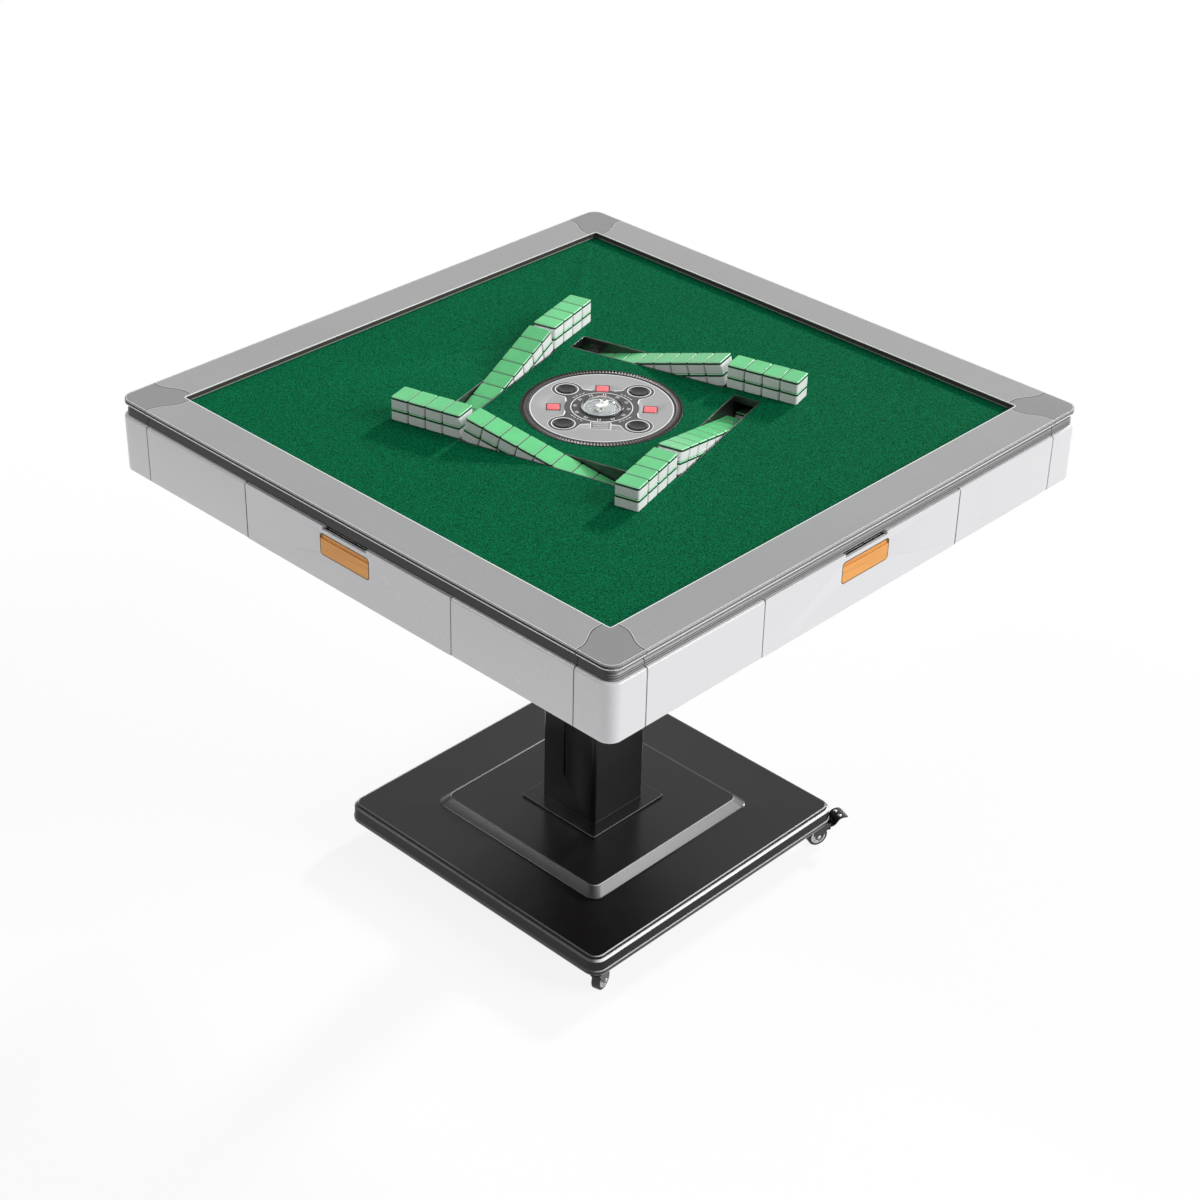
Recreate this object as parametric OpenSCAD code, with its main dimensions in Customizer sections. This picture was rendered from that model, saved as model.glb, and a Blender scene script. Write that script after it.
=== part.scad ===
// Automatic mahjong table on a column foot, with a drawer on each side and four walls of tiles.
// Frame: origin on the floor under the column's axis, +Z up, +X and +Y along the table's sides.

/* [Table top] */
// Outer side of the square bezel
table_w = 940; // [920:1:980]
// Height of the bezel's top above the floor
table_h = 760; // [740:1:800]
// Width of the bezel rails
bezel_w = 63.4; // [60:0.1:68]
// Thickness of the bezel
bezel_t = 7; // [6:0.5:8]
// Radius of the bezel's outer corners
corner_r = 19; // [14:1:24]
// Height of the dark band under the bezel
neck_h = 17; // [15:0.5:20]
// Thickness of the dark band
neck_t = 14; // [12:0.5:16]
// Set-back of the dark band from the bezel's edge
neck_inset = 3; // [2:0.5:5]
// Height of the apron round the case
apron_h = 86; // [84:1:92]
// Thickness of the apron
apron_t = 14; // [12:0.5:16]
// How far the apron stands out past the bezel
apron_out = 1.5; // [1:0.5:3]
// Depth of the playing cloth below the bezel's top
felt_drop = 9.2; // [8.5:0.1:10]
// Thickness of the playing cloth
felt_t = 1.2; // [0.8:0.1:2]
// Thickness of the playing board
board_t = 9; // [8:0.5:10]

/* [Tiles] */
// Length of a tile, across its wall
tile_l = 36; // [35:0.1:37]
// Width of a tile, along its wall
tile_w = 27; // [26:0.1:28]
// Thickness of a tile
tile_h = 17.8; // [17:0.1:18.6]
// Radius of a tile's corners
tile_r = 2.4; // [1.5:0.1:4]
// Turn of each wall from the table's side, in degrees
wall_turn = 15.25; // [13:0.25:16]
// Distance from the table's centre to a wall's inner face
wall_reach = 143.8; // [142:0.2:146]
// Slope of a lowered ramp, in degrees
ramp_slope = 14.57; // [13.5:0.01:15]
// Place of a ramp's hinge along its wall
hinge_place = 114.3; // [112:0.1:116]

/* [Drawers] */
// Width of the bay for a drawer's front
bay_w = 396; // [380:1:404]
// Set-back of a drawer's tray from each side of its bay
tray_inset = 22; // [18:1:38]
// Height of a drawer's tray
tray_h = 64; // [56:1:66]
// Thickness of a tray's walls
tray_wall = 3; // [2:0.5:4]
// Width of a drawer's pull
pull_w = 94; // [80:1:110]
// Height of a drawer's pull
pull_h = 32; // [26:1:36]
// Share of a tray's length that it slides out
travel_share = 0.8; // [0.6:0.05:0.85]

/* [Centre unit] */
// Radius of the control plate
plate_r = 101.8; // [98:0.2:104]
// Outer radius of the knurled ring
ring_r = 113; // [110:0.5:116]
// Radius of a round button
button_r = 13; // [12:0.25:14]
// Distance of the round buttons from the centre
button_reach = 71.9; // [70:0.1:74]
// Travel of a round button
button_travel = 1.5; // [1:0.25:2]
// Side of a square lamp
lamp_w = 20; // [16:0.5:21]
// Radius of the dice dome
dome_r = 28; // [27:0.5:30]
// Height of the dice dome
dome_h = 15; // [14:0.5:18]
// Side of a die
die_w = 9; // [8:0.25:9.5]
// Lift of the centre unit
lift = 50; // [30:1:60]
// Outer radius of the mixing drum
drum_r = 126; // [122:0.5:130]

/* [Foot] */
// Side of the square base
base_w = 530; // [500:1:560]
// Height of the base's top above the floor
base_top = 67; // [65:0.5:72]
// Height of the base's rim
rim_h = 30; // [28:0.5:30]
// Side of the raised plinth at its foot
plinth_w = 339; // [300:1:345]
// Rise of the plinth
plinth_h = 13; // [12:0.5:16]
// Run of the plinth's sloped sides
plinth_run = 11; // [8:0.5:14]
// Side of the column's foot plate
foot_w = 153; // [148:1:170]
// Side of the square column
column_w = 109; // [104:1:116]
// Wall of the column
column_wall = 3; // [2:0.5:4]
// Side of the pan under the case
pan_w = 640; // [600:2:660]
// Depth of the pan under the case
pan_h = 42; // [40:1:46]
// Radius of a caster wheel
wheel_r = 16.5; // [15.5:0.25:16.75]
// Width of a caster wheel
wheel_w = 14; // [12:0.5:16]
// Trail of a caster
trail = 26; // [22:0.5:28]

/* [Hidden] */

// Clearances and the overrun of cuts
seam = 0.4;
play = 0.3;
running = 0.05;
over = 2;
$fn = 72;

// Heights of the case, from the bezel's top down
neck_top = table_h - bezel_t;
apron_top = neck_top - neck_h;
case_bottom = apron_top - apron_h;
floor_t = 2;
floor_top = case_bottom + floor_t;
felt_top = table_h - felt_drop;
board_top = felt_top - felt_t;
board_bottom = board_top - board_t;
half = table_w / 2;
apron_half = half + apron_out;
apron_in = apron_half - apron_t;
neck_out = half - neck_inset;
neck_in = neck_out - neck_t;

// Bezel: caps at the corners meet the rails on a curved seam
cap_len = 59;
cap_swell = 16.7;
seam_start_share = 0.13;
seam_end_share = 0.82;
seam_steps = 10;
bezel_lip_w = 8;
groove_d = 1.5;
groove_h = 2;
neck_step_h = 8;
neck_step_d = 1.5;
bezel_in = half - bezel_w;

// Walls of tiles: along a wall x falls with the ramp, and y points inwards
flat_cols = 4;
ramp_cols = 8;
track_cols = 5;
tile_gap = 0.4;
tier_gap = 0.1;
pitch = tile_w + tile_gap;
hinge_x = -hinge_place;
hinge_drop = 4;
hinge_z = felt_top - hinge_drop;
pin_r = 2;
barrel_wall = 1.2;
barrel_r = pin_r + barrel_wall;
plate_t = 3;
ramp_len = 240;
ramp_start = 5.6;
wall_gap = 0.8;
flat_end = hinge_x - ramp_start - wall_gap;
flat_start = flat_end - flat_cols * pitch + tile_gap;
tile_side = 1.25;
liner_wall = 1.5;
slot_in = wall_reach - tile_side;
slot_out = wall_reach + tile_l + tile_side;
slot_w = slot_out - slot_in;
slot_start = hinge_x - ramp_start - 2 * play - liner_wall;
slot_end_gap = 2;
slot_end = hinge_x + ramp_len + slot_end_gap;
track_start = ramp_len + 2 * play;
track_tile = track_start + 2 * play;
track_end = track_tile + track_cols * pitch - tile_gap;
track_t = 2.5;
stack_h = 2 * tile_h + tier_gap;
bed_end = hinge_x + (track_end + play) * cos(ramp_slope) + (hinge_drop + stack_h) * sin(ramp_slope);
channel_end = bed_end + play;
liner_depth = 16;
channel_reach = (channel_end + liner_wall) * cos(wall_turn) + (slot_out + liner_wall) * sin(wall_turn);

// Drawers: each slides out of its own side of the case
front_w = bay_w - 2 * seam;
front_h = apron_h - 2 * seam;
front_bottom = case_bottom + seam;
tray_w = bay_w - 2 * tray_inset;
tray_rise = 3;
tray_bottom = floor_top + tray_rise;
tray_top = tray_bottom + tray_h;
tray_in = channel_reach + 4 * play + tray_wall;
tray_len = apron_in - tray_in;
drawer_travel = travel_share * tray_len;
rib_w = 10;
rib_h = 5;
rib_rise = 13;
runner_w = rib_w + 2 * play;
runner_h = tray_rise + rib_rise - play;
pull_recess = 9;
pull_drop = 11.1;
pull_r = 5;
pull_lip_share = 0.25;
pull_lip_d = 2;
notch_w = 84;
notch_h = 5;
notch_d = 8;

// Case frame
beam_w = 24;
beam_gap = 2;
beam_bottom = tray_top + beam_gap;
beam_out = neck_in;
beam_in = beam_out - beam_w;
post_at = bay_w / 2 + 2 * beam_gap + beam_w / 2;

// Centre unit
hole_r = ring_r + 2 * play;
plate_thick = 4;
plate_bottom = felt_top - plate_thick;
ring_proud = 0.6;
ring_ledge = 5;
ring_ledge_h = 3;
ring_bottom = plate_bottom - ring_ledge_h;
housing_gap = 1;
housing_r = plate_r - ring_ledge - play - housing_gap;
housing_wall = 3;
housing_h = 25;
housing_bottom = plate_bottom - housing_h;
tube_r = 22;
tube_wall = 3;
tube_bottom = case_bottom - pan_h + 3 * housing_wall;
button_turn = -3;
button_proud = 1.5;
button_flange = 1.5;
button_flange_t = 2;
button_bottom = plate_bottom - play - button_flange_t;
switch_r = 10;
lamp_depth = 2;
lamp_turns = [134.7, -49.4, 43];
lamp_reach = 67.3;
back_lamp_reach = 56;
lamp_reaches = [lamp_reach, lamp_reach, back_lamp_reach];
display_turn = 222.4;
display_reach = 54;
display_w = 27;
display_d = 20;
dome_wall = 1.4;
dome_sphere = (dome_r * dome_r + dome_h * dome_h) / (2 * dome_h);
table_r = dome_r - 3.5 * dome_wall;
table_t = 2;
table_sink = 1.5;
table_top = felt_top - table_sink;
shaft_r = 3;
dice_motor_r = 14;
dice_motor_h = 15;
die_turns = [20, 65];
die_reach = 8;

// Mixing drum, its bush and its drive
bush_wall = 7;
bush_r = tube_r + play + bush_wall;
bush_flange = 8;
bush_flange_h = 4;
bush_h = 46;
drum_wall = 3;
hub_wall = 5;
hub_bottom = floor_top + bush_flange_h + play;
hub_h = 46;
drum_floor = floor_top + 28;
drum_top = board_bottom - 5.6;
drive_r = 18;
drive_h = 10;
drive_at = 90;
skirt_in = drive_at + drive_r + play;
skirt_h = 24;
motor_r = 26;
motor_shaft_r = 4;
motor_top_gap = 3;

// Pan, control box and inlet
pan_wall = 2;
pan_bottom = case_bottom - pan_h;
box_w = 120;
box_d = 180;
box_h = 34;
box_at = 190;
inlet_w = 27;
inlet_h = 20;
inlet_d = 12;

// Column and base
foot_t = 4;
foot_r = 4;
column_r = 7;
head_w = 200;
head_t = 5;
head_r = 10;
plinth_top = base_top + plinth_h;
column_bottom = plinth_top + foot_t;
column_top = pan_bottom - head_t;
slit_w = 2;
slit_at = 8.5;
slit_low = 57;
slit_high = 20;
sheet_t = 3;
base_r = 22;
rim_bottom = base_top - rim_h;
bolt_r = 4;
bolt_head_r = 6.5;
bolt_head_h = 5;
foot_bolt_at = 0.43 * foot_w;
head_bolt_at = 0.42 * head_w;

// Casters: places and turns of the forks, in degrees
caster_inset_x = 51;
caster_inset_y = 22;
caster_x = base_w / 2 - caster_inset_x;
caster_y = base_w / 2 - caster_inset_y;
caster_sides = [[-1, -1], [1, -1], [1, 1], [-1, 1]];
caster_turns = [195, -20, -70, -115];
stem_r = 5.5;
socket_wall = 5.5;
stem_h = 20;
crown_t = 2.6;
crown_gap = 1;
crown_bottom = 2 * wheel_r + crown_gap;
crown_top = crown_bottom + crown_t;
leg_t = 2;
leg_gap = 0.6;
fork_half = wheel_w / 2 + leg_gap + leg_t;
axle_r = 3;
crown_back = 12;
crown_front = 20;
hub_r = 12;
hub_sink = 1.2;
pedal_at = trail + 17;
pedal_z = crown_bottom - 5;
pedal_pin_r = 1.5;
pedal_barrel_r = 3;
pedal_len = 29;
pedal_w = 26;
pedal_t = 3;
ear_wall = 1;
ear_r = pedal_pin_r + ear_wall;

// Square outline with round corners
module rounded_outline(w, d, r) {
    square([w - 2 * r, d], center = true);
    square([w, d - 2 * r], center = true);
    for (x = [-1, 1])
        for (y = [-1, 1])
            translate([x * (w / 2 - r), y * (d / 2 - r)])
                circle(r = r);
}

module rounded_plate(w, d, r, z0, z1) {
    translate([0, 0, z0])
        linear_extrude(z1 - z0)
            rounded_outline(w, d, r);
}

// Square frame between an outer rounded side and an inner sharp side
module square_frame(out_half, out_r, in_half, z0, z1) {
    translate([0, 0, z0])
        linear_extrude(z1 - z0)
            difference() {
                rounded_outline(2 * out_half, 2 * out_half, out_r);
                square([2 * in_half, 2 * in_half], center = true);
            }
}

module tube(r_out, r_in, z0, z1) {
    translate([0, 0, z0])
        difference() {
            cylinder(r = r_out, h = z1 - z0);
            translate([0, 0, -over])
                cylinder(r = r_in, h = z1 - z0 + 2 * over);
        }
}

// Puts children in a wall's own frame: x down the ramp, y inwards, side 1 at -X
module at_wall(k) {
    rotate([0, 0, wall_turn - 90 + 90 * (k - 1)])
        children();
}

// Puts children on a lowered ramp: x down the slope from the hinge, z square to it
module on_ramp() {
    translate([hinge_x, 0, hinge_z])
        rotate([0, ramp_slope, 0])
            children();
}

// Puts children at a side of the table: side 1 is at -X, x points out of it
module at_side(k) {
    rotate([0, 0, 180 + 90 * (k - 1)])
        children();
}

// Length of a corner cap along the side, at the share s of the bezel's width
function cap_at(s) =
    let (t = min(1, max(0, (s - seam_start_share) / (seam_end_share - seam_start_share))))
    cap_len + cap_swell * (1 - cos(180 * t)) / 2;

seam_shares = [for (i = [0:seam_steps]) i / seam_steps];

// Plan of a straight rail along the side at -Y
module rail_plan() {
    right = [for (s = seam_shares) [half - cap_at(s) - seam / 2, s * bezel_w - half]];
    left = [for (i = [0:seam_steps]) let (p = right[seam_steps - i]) [-p[0], p[1]]];
    polygon(concat(right, left));
}

// Plan of the cap at the corner +X, -Y
module cap_plan() {
    low = [for (s = seam_shares) [half - cap_at(s) + seam / 2, s * bezel_w - half]];
    high = [for (i = [0:seam_steps]) let (p = low[seam_steps - i]) [-p[1], -p[0]]];
    polygon(concat(low, [[bezel_in, -bezel_in]], high, [[half, -half]]));
}

// Bezel all round: slab with a groove in its edge and a lip down to the cloth
module bezel_stack() {
    layer = (bezel_t - groove_h) / 2;
    square_frame(half, corner_r, bezel_in, neck_top, neck_top + layer);
    square_frame(half - groove_d, corner_r, bezel_in, neck_top + layer, neck_top + layer + groove_h);
    square_frame(half, corner_r, bezel_in, neck_top + layer + groove_h, table_h);
    square_frame(bezel_in + bezel_lip_w, bezel_lip_w / 2, bezel_in, felt_top, neck_top);
}

module bezel_rails() {
    color("#a5a5a5")
        for (k = [0:3])
            rotate([0, 0, 90 * k])
                intersection() {
                    bezel_stack();
                    translate([0, 0, felt_top - over])
                        linear_extrude(felt_drop + 2 * over)
                            rail_plan();
                }
}

module corner_caps() {
    color("#8f8f8f")
        for (k = [0:3])
            rotate([0, 0, 90 * k])
                intersection() {
                    bezel_stack();
                    translate([0, 0, felt_top - over])
                        linear_extrude(felt_drop + 2 * over)
                            cap_plan();
                }
}

// Splits a ring at -Y into a straight stretch between two seams
module straight_stretch(x0, x1, z0, z1) {
    translate([x0, -half - apron_out - over, z0 - over])
        cube([x1 - x0, half, z1 - z0 + 2 * over]);
}

module corner_stretch(x0, z0, z1) {
    translate([x0, -half - apron_out - over, z0 - over])
        cube([half, half + apron_out + over - x0, z1 - z0 + 2 * over]);
}

module neck_stack() {
    square_frame(neck_out, corner_r - neck_inset, neck_in, apron_top, apron_top + neck_step_h);
    square_frame(neck_out - neck_step_d, corner_r - neck_inset, neck_in, apron_top + neck_step_h, neck_top);
}

module neck_trim() {
    seam_x = half - cap_len;
    color("#3a3a3a")
        for (k = [0:3])
            rotate([0, 0, 90 * k]) {
                intersection() {
                    neck_stack();
                    straight_stretch(-seam_x + seam / 2, seam_x - seam / 2, apron_top, neck_top);
                }
                intersection() {
                    neck_stack();
                    corner_stretch(seam_x + seam / 2, apron_top, neck_top);
                }
            }
}

module apron_panels() {
    corner_x = half - cap_len - 2 * seam;
    bay = bay_w / 2;
    color("#dedede")
        for (k = [0:3])
            rotate([0, 0, 90 * k]) {
                for (side = [0, 1])
                    mirror([side, 0, 0])
                        intersection() {
                            square_frame(apron_half, corner_r, apron_in, case_bottom, apron_top);
                            straight_stretch(bay, corner_x - seam, case_bottom, apron_top);
                        }
                intersection() {
                    square_frame(apron_half, corner_r, apron_in, case_bottom, apron_top);
                    corner_stretch(corner_x, case_bottom, apron_top);
                }
            }
}

// Opening of one slot through the board and the cloth
module slot_hole(gap) {
    translate([slot_start - gap, -slot_out - liner_wall - gap, board_bottom - over])
        cube([slot_end + liner_wall - slot_start + 2 * gap, slot_w + 2 * liner_wall + 2 * gap,
            felt_top - board_bottom + 2 * over]);
}

module board_layer(z0, z1) {
    difference() {
        translate([0, 0, z0])
            linear_extrude(z1 - z0)
                square([2 * neck_in, 2 * neck_in], center = true);
        for (k = [1:4])
            at_wall(k)
                slot_hole(play);
        translate([0, 0, z0 - over])
            cylinder(r = hole_r, h = z1 - z0 + 2 * over);
    }
}

module play_board() {
    color("#8b6b46")
        board_layer(board_bottom, board_top);
}

module felt_cloth() {
    color("#00774a")
        board_layer(board_top, felt_top);
}

// Side view of a liner: level rim along the slot, then under the board down to the floor
module liner_side() {
    polygon([
        [slot_start, felt_top],
        [slot_end + liner_wall, felt_top],
        [slot_end + liner_wall, board_bottom],
        [channel_end + liner_wall, board_bottom],
        [channel_end + liner_wall, floor_top],
        [channel_end - tile_w, floor_top],
        [slot_start, felt_top - liner_depth]
    ]);
}

// One trough: two side walls with the hinge holes, end walls and the fixed lower track
module slot_liner() {
    difference() {
        union() {
            for (y = [-slot_out - liner_wall, -slot_in])
                translate([0, y + liner_wall, 0])
                    rotate([90, 0, 0])
                        linear_extrude(liner_wall)
                            liner_side();
            translate([slot_start, -slot_out - liner_wall, felt_top - liner_depth])
                cube([liner_wall, slot_w + 2 * liner_wall, liner_depth]);
            translate([slot_end, -slot_out - liner_wall, board_bottom])
                cube([liner_wall, slot_w + 2 * liner_wall, felt_top - board_bottom]);
            translate([channel_end, -slot_out - liner_wall, floor_top])
                cube([liner_wall, slot_w + 2 * liner_wall, board_bottom - floor_top]);
            on_ramp()
                translate([track_start, -slot_out - liner_wall, hinge_drop - track_t])
                    cube([track_end - track_start, slot_w + 2 * liner_wall, track_t]);
        }
        translate([hinge_x, -slot_out - liner_wall - over, hinge_z])
            rotate([-90, 0, 0])
                cylinder(r = pin_r + running, h = slot_w + 2 * liner_wall + 2 * over);
    }
}

module slot_liners() {
    color("#b9bcbe")
        for (k = [1:4])
            at_wall(k)
                slot_liner();
}

// Hinged bed that carries the tiles up through the slot
module ramp_plate(k) {
    width = slot_w - 2 * play;
    color("#2f3133")
        at_wall(k)
            on_ramp() {
                translate([-ramp_start, -slot_out + play, hinge_drop - plate_t])
                    cube([ramp_len + ramp_start, width, plate_t]);
                translate([0, -slot_out + play, 0])
                    rotate([-90, 0, 0])
                        cylinder(r = barrel_r, h = width);
                translate([0, -slot_out - liner_wall, 0])
                    rotate([-90, 0, 0])
                        cylinder(r = pin_r, h = slot_w + 2 * liner_wall);
            }
}

module tile() {
    linear_extrude(tile_h)
        translate([tile_w / 2, -wall_reach - tile_l / 2])
            rounded_outline(tile_w, tile_l, tile_r);
}

// Columns of two tiles from x0 on
module tile_row(cols, x0) {
    for (i = [0:cols - 1])
        for (tier = [0, 1])
            translate([x0 + i * pitch, 0, tier * (tile_h + tier_gap)])
                tile();
}

module wall_tiles() {
    color("#e8ece6")
        for (k = [1:4])
            at_wall(k) {
                translate([0, 0, felt_top])
                    tile_row(flat_cols, flat_start);
                on_ramp()
                    translate([0, 0, hinge_drop])
                        tile_row(track_cols, track_tile);
            }
}

module ramp_tiles(k) {
    color("#e8ece6")
        at_wall(k)
            on_ramp()
                translate([0, 0, hinge_drop])
                    tile_row(ramp_cols, -ramp_start);
}

// Front panel with the recess for its pull and a finger notch in the top edge
module drawer_front(k) {
    pull_top = front_bottom + front_h - pull_drop;
    color("#e4e4e4")
        at_side(k)
            difference() {
                translate([apron_in, -front_w / 2, front_bottom])
                    cube([apron_t, front_w, front_h]);
                translate([apron_half - pull_recess, 0, pull_top - pull_h / 2])
                    rotate([90, 0, 90])
                        linear_extrude(pull_recess + over)
                            rounded_outline(pull_w, pull_h, pull_r);
                translate([apron_half - notch_d, -notch_w / 2, front_bottom + front_h - notch_h])
                    cube([notch_d + over, notch_w, notch_h + over]);
            }
}

// Inset pull with a set-back strip along its upper quarter
module drawer_pull(k) {
    pull_top = front_bottom + front_h - pull_drop;
    lip = pull_lip_share * pull_h;
    color("#d0914a")
        at_side(k)
            difference() {
                translate([apron_half - pull_recess, 0, pull_top - pull_h / 2])
                    rotate([90, 0, 90])
                        linear_extrude(pull_recess)
                            rounded_outline(pull_w - play, pull_h - play, pull_r);
                translate([apron_half - pull_lip_d, -pull_w / 2, pull_top - lip])
                    cube([pull_lip_d + over, pull_w, lip + over]);
            }
}

// Open tray behind the front, with a rib on each side that rides on a runner
module drawer_tray(k) {
    color("#c9cacb")
        at_side(k)
            difference() {
                union() {
                    translate([tray_in, -tray_w / 2, tray_bottom])
                        cube([tray_len, tray_w, tray_h]);
                    translate([tray_in, -tray_w / 2 - rib_w, tray_bottom + rib_rise])
                        cube([tray_len, tray_w + 2 * rib_w, rib_h]);
                }
                translate([tray_in + tray_wall, -tray_w / 2 + tray_wall, tray_bottom + tray_wall])
                    cube([tray_len - 2 * tray_wall, tray_w - 2 * tray_wall, tray_h]);
            }
}

module drawer_runners() {
    color("#8c8f92")
        for (k = [1:4])
            at_side(k)
                for (side = [0, 1])
                    mirror([0, side, 0])
                        translate([tray_in, tray_w / 2 + play, floor_top])
                            cube([tray_len, runner_w, runner_h]);
}

// Welded frame: a ring of beams under the board on twelve posts
module chassis_frame() {
    mid = (beam_in + beam_out) / 2;
    color("#55585b") {
        translate([0, 0, beam_bottom])
            linear_extrude(board_bottom - beam_bottom)
                difference() {
                    square([2 * beam_out, 2 * beam_out], center = true);
                    square([2 * beam_in, 2 * beam_in], center = true);
                }
        for (k = [0:3])
            rotate([0, 0, 90 * k])
                for (p = [[mid, mid], [mid, post_at], [mid, -post_at]])
                    translate([p[0] - beam_w / 2, p[1] - beam_w / 2, floor_top])
                        cube([beam_w, beam_w, board_bottom - floor_top]);
    }
}

module floor_plate() {
    color("#6a6d70")
        translate([0, 0, case_bottom])
            difference() {
                linear_extrude(floor_t)
                    square([2 * apron_in, 2 * apron_in], center = true);
                translate([0, 0, -over])
                    cylinder(r = tube_r + play, h = floor_t + 2 * over);
                translate([drive_at, 0, -over])
                    cylinder(r = motor_shaft_r + play, h = floor_t + 2 * over);
            }
}

// Flanged bush that guides the lift tube and carries the drum
module guide_bush() {
    color("#c8a050") {
        tube(bush_r, tube_r + play, floor_top, floor_top + bush_h);
        tube(bush_r + bush_flange, tube_r + play, floor_top, floor_top + bush_flange_h);
    }
}

// Bowl with a hub on the bush and a skirt that the drive wheel turns
module mixing_drum() {
    color("#24282b") {
        tube(bush_r + running + hub_wall, bush_r + running, hub_bottom, hub_bottom + hub_h);
        tube(drum_r, bush_r + running, drum_floor, drum_floor + drum_wall);
        tube(drum_r, drum_r - drum_wall, drum_floor, drum_top);
        tube(skirt_in + drum_wall, skirt_in, drum_floor - skirt_h, drum_floor + drum_wall);
    }
}

module drive_wheel() {
    base = floor_top + 2 * play;
    color("#1c1c1c")
        translate([drive_at, 0, 0])
            tube(drive_r, motor_shaft_r + running, base, base + drive_h);
}

module drum_motor() {
    top = case_bottom - motor_top_gap;
    shaft_top = floor_top + 2 * play + drive_h;
    color("#9a9c9e")
        translate([drive_at, 0, 0]) {
            translate([0, 0, pan_bottom + pan_wall])
                cylinder(r = motor_r, h = top - pan_bottom - pan_wall);
            translate([0, 0, top])
                cylinder(r = motor_shaft_r, h = shaft_top - top);
        }
}

module belly_pan() {
    color("#77797b")
        difference() {
            rounded_plate(pan_w, pan_w, corner_r, pan_bottom, case_bottom);
            rounded_plate(pan_w - 2 * pan_wall, pan_w - 2 * pan_wall, corner_r - pan_wall,
                pan_bottom + pan_wall, case_bottom + over);
            translate([-pan_w / 2 - over, -inlet_w / 2, pan_bottom + pan_h / 2 - inlet_h / 2])
                cube([pan_wall + 2 * over, inlet_w, inlet_h]);
            for (x = [-1, 1])
                for (y = [-1, 1])
                    translate([x * head_bolt_at, y * head_bolt_at, pan_bottom - over])
                        cylinder(r = bolt_r + running, h = pan_wall + 2 * over);
        }
}

// Box for the electronics on the pan's floor, and the power inlet in the pan's side
module control_box() {
    color("#2b2b2b") {
        translate([-box_at - box_w / 2, -box_d / 2, pan_bottom + pan_wall])
            cube([box_w, box_d, box_h]);
        difference() {
            translate([-pan_w / 2, -inlet_w / 2 + play, pan_bottom + pan_h / 2 - inlet_h / 2 + play])
                cube([pan_w / 2 - box_at - box_w / 2, inlet_w - 2 * play, inlet_h - 2 * play]);
            translate([-pan_w / 2 - over, -inlet_w / 2 + pan_wall, pan_bottom + pan_h / 2 - inlet_h / 2 + pan_wall])
                cube([inlet_d + over, inlet_w - 2 * pan_wall, inlet_h - 2 * pan_wall]);
        }
    }
}

// Place of a round button
module at_button(k) {
    rotate([0, 0, button_turn - 90 + 90 * k])
        translate([button_reach, 0, 0])
            children();
}

module lamp_outline(gap) {
    for (i = [0:len(lamp_turns) - 1])
        rotate([0, 0, lamp_turns[i]])
            translate([lamp_reaches[i], 0])
                square([lamp_w + gap, lamp_w + gap], center = true);
    rotate([0, 0, display_turn])
        translate([display_reach, 0])
            square([display_d + gap, display_w + gap], center = true);
}

// Plate with holes for the buttons and the dice table, and pockets for the lamps
module control_plate() {
    color("#b5b5b5")
        difference() {
            translate([0, 0, plate_bottom])
                cylinder(r = plate_r, h = plate_thick);
            for (k = [1:4])
                at_button(k)
                    translate([0, 0, plate_bottom - over])
                        cylinder(r = button_r + play, h = plate_thick + 2 * over);
            translate([0, 0, plate_bottom - over])
                cylinder(r = table_r + play, h = plate_thick + 2 * over);
            translate([0, 0, felt_top - lamp_depth])
                linear_extrude(lamp_depth + over)
                    lamp_outline(play);
        }
}

module knurled_ring() {
    color("#6e6663") {
        tube(ring_r, plate_r + running, ring_bottom, felt_top + ring_proud);
        tube(plate_r + play, plate_r - ring_ledge, ring_bottom, plate_bottom);
    }
}

module lamp_lenses() {
    color("#ff7f85")
        translate([0, 0, felt_top - lamp_depth])
            linear_extrude(lamp_depth + running)
                lamp_outline(0);
}

// Cup under the plate with the switch posts, the dice motor and the lift tube
module lift_housing() {
    floor_z = housing_bottom + housing_wall;
    switch_top = button_bottom - button_travel - play;
    color("#4a4d50")
        difference() {
            union() {
                tube(housing_r, housing_r - housing_wall, housing_bottom, plate_bottom);
                translate([0, 0, housing_bottom])
                    cylinder(r = housing_r, h = housing_wall);
                for (k = [1:4])
                    at_button(k)
                        translate([0, 0, housing_bottom])
                            cylinder(r = switch_r, h = switch_top - housing_bottom);
                translate([0, 0, housing_bottom])
                    cylinder(r = dice_motor_r, h = housing_wall + dice_motor_h);
                tube(tube_r, tube_r - tube_wall, tube_bottom, housing_bottom + housing_wall);
            }
            translate([0, 0, floor_z])
                cylinder(r = shaft_r + running, h = dice_motor_h + over);
        }
}

module round_button(k) {
    color("#2a2a2a")
        at_button(k) {
            translate([0, 0, button_bottom])
                cylinder(r = button_r, h = felt_top + button_proud - button_bottom);
            translate([0, 0, button_bottom])
                cylinder(r = button_r + button_flange, h = button_flange_t);
        }
}

// Clear cap over the dice
module dice_dome() {
    centre_z = felt_top + dome_h - dome_sphere;
    color("#e8eef0", 0.4)
        difference() {
            translate([0, 0, centre_z])
                sphere(r = dome_sphere);
            translate([0, 0, centre_z])
                sphere(r = dome_sphere - dome_wall);
            translate([0, 0, felt_top - 3 * dome_sphere])
                cylinder(r = 2 * dome_sphere, h = 3 * dome_sphere);
        }
}

module dice_table() {
    shaft_bottom = housing_bottom + housing_wall + play;
    color("#3f4144") {
        translate([0, 0, table_top - table_t])
            cylinder(r = table_r, h = table_t);
        translate([0, 0, shaft_bottom])
            cylinder(r = shaft_r, h = table_top - table_t / 2 - shaft_bottom);
    }
}

module dice() {
    color("#f4f4f2")
        for (i = [0, 1])
            rotate([0, 0, 180 * i + die_turns[0]])
                translate([die_reach, 0, table_top])
                    rotate([0, 0, die_turns[1]])
                        translate([-die_w / 2, -die_w / 2, 0])
                            cube(die_w);
}

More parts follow.
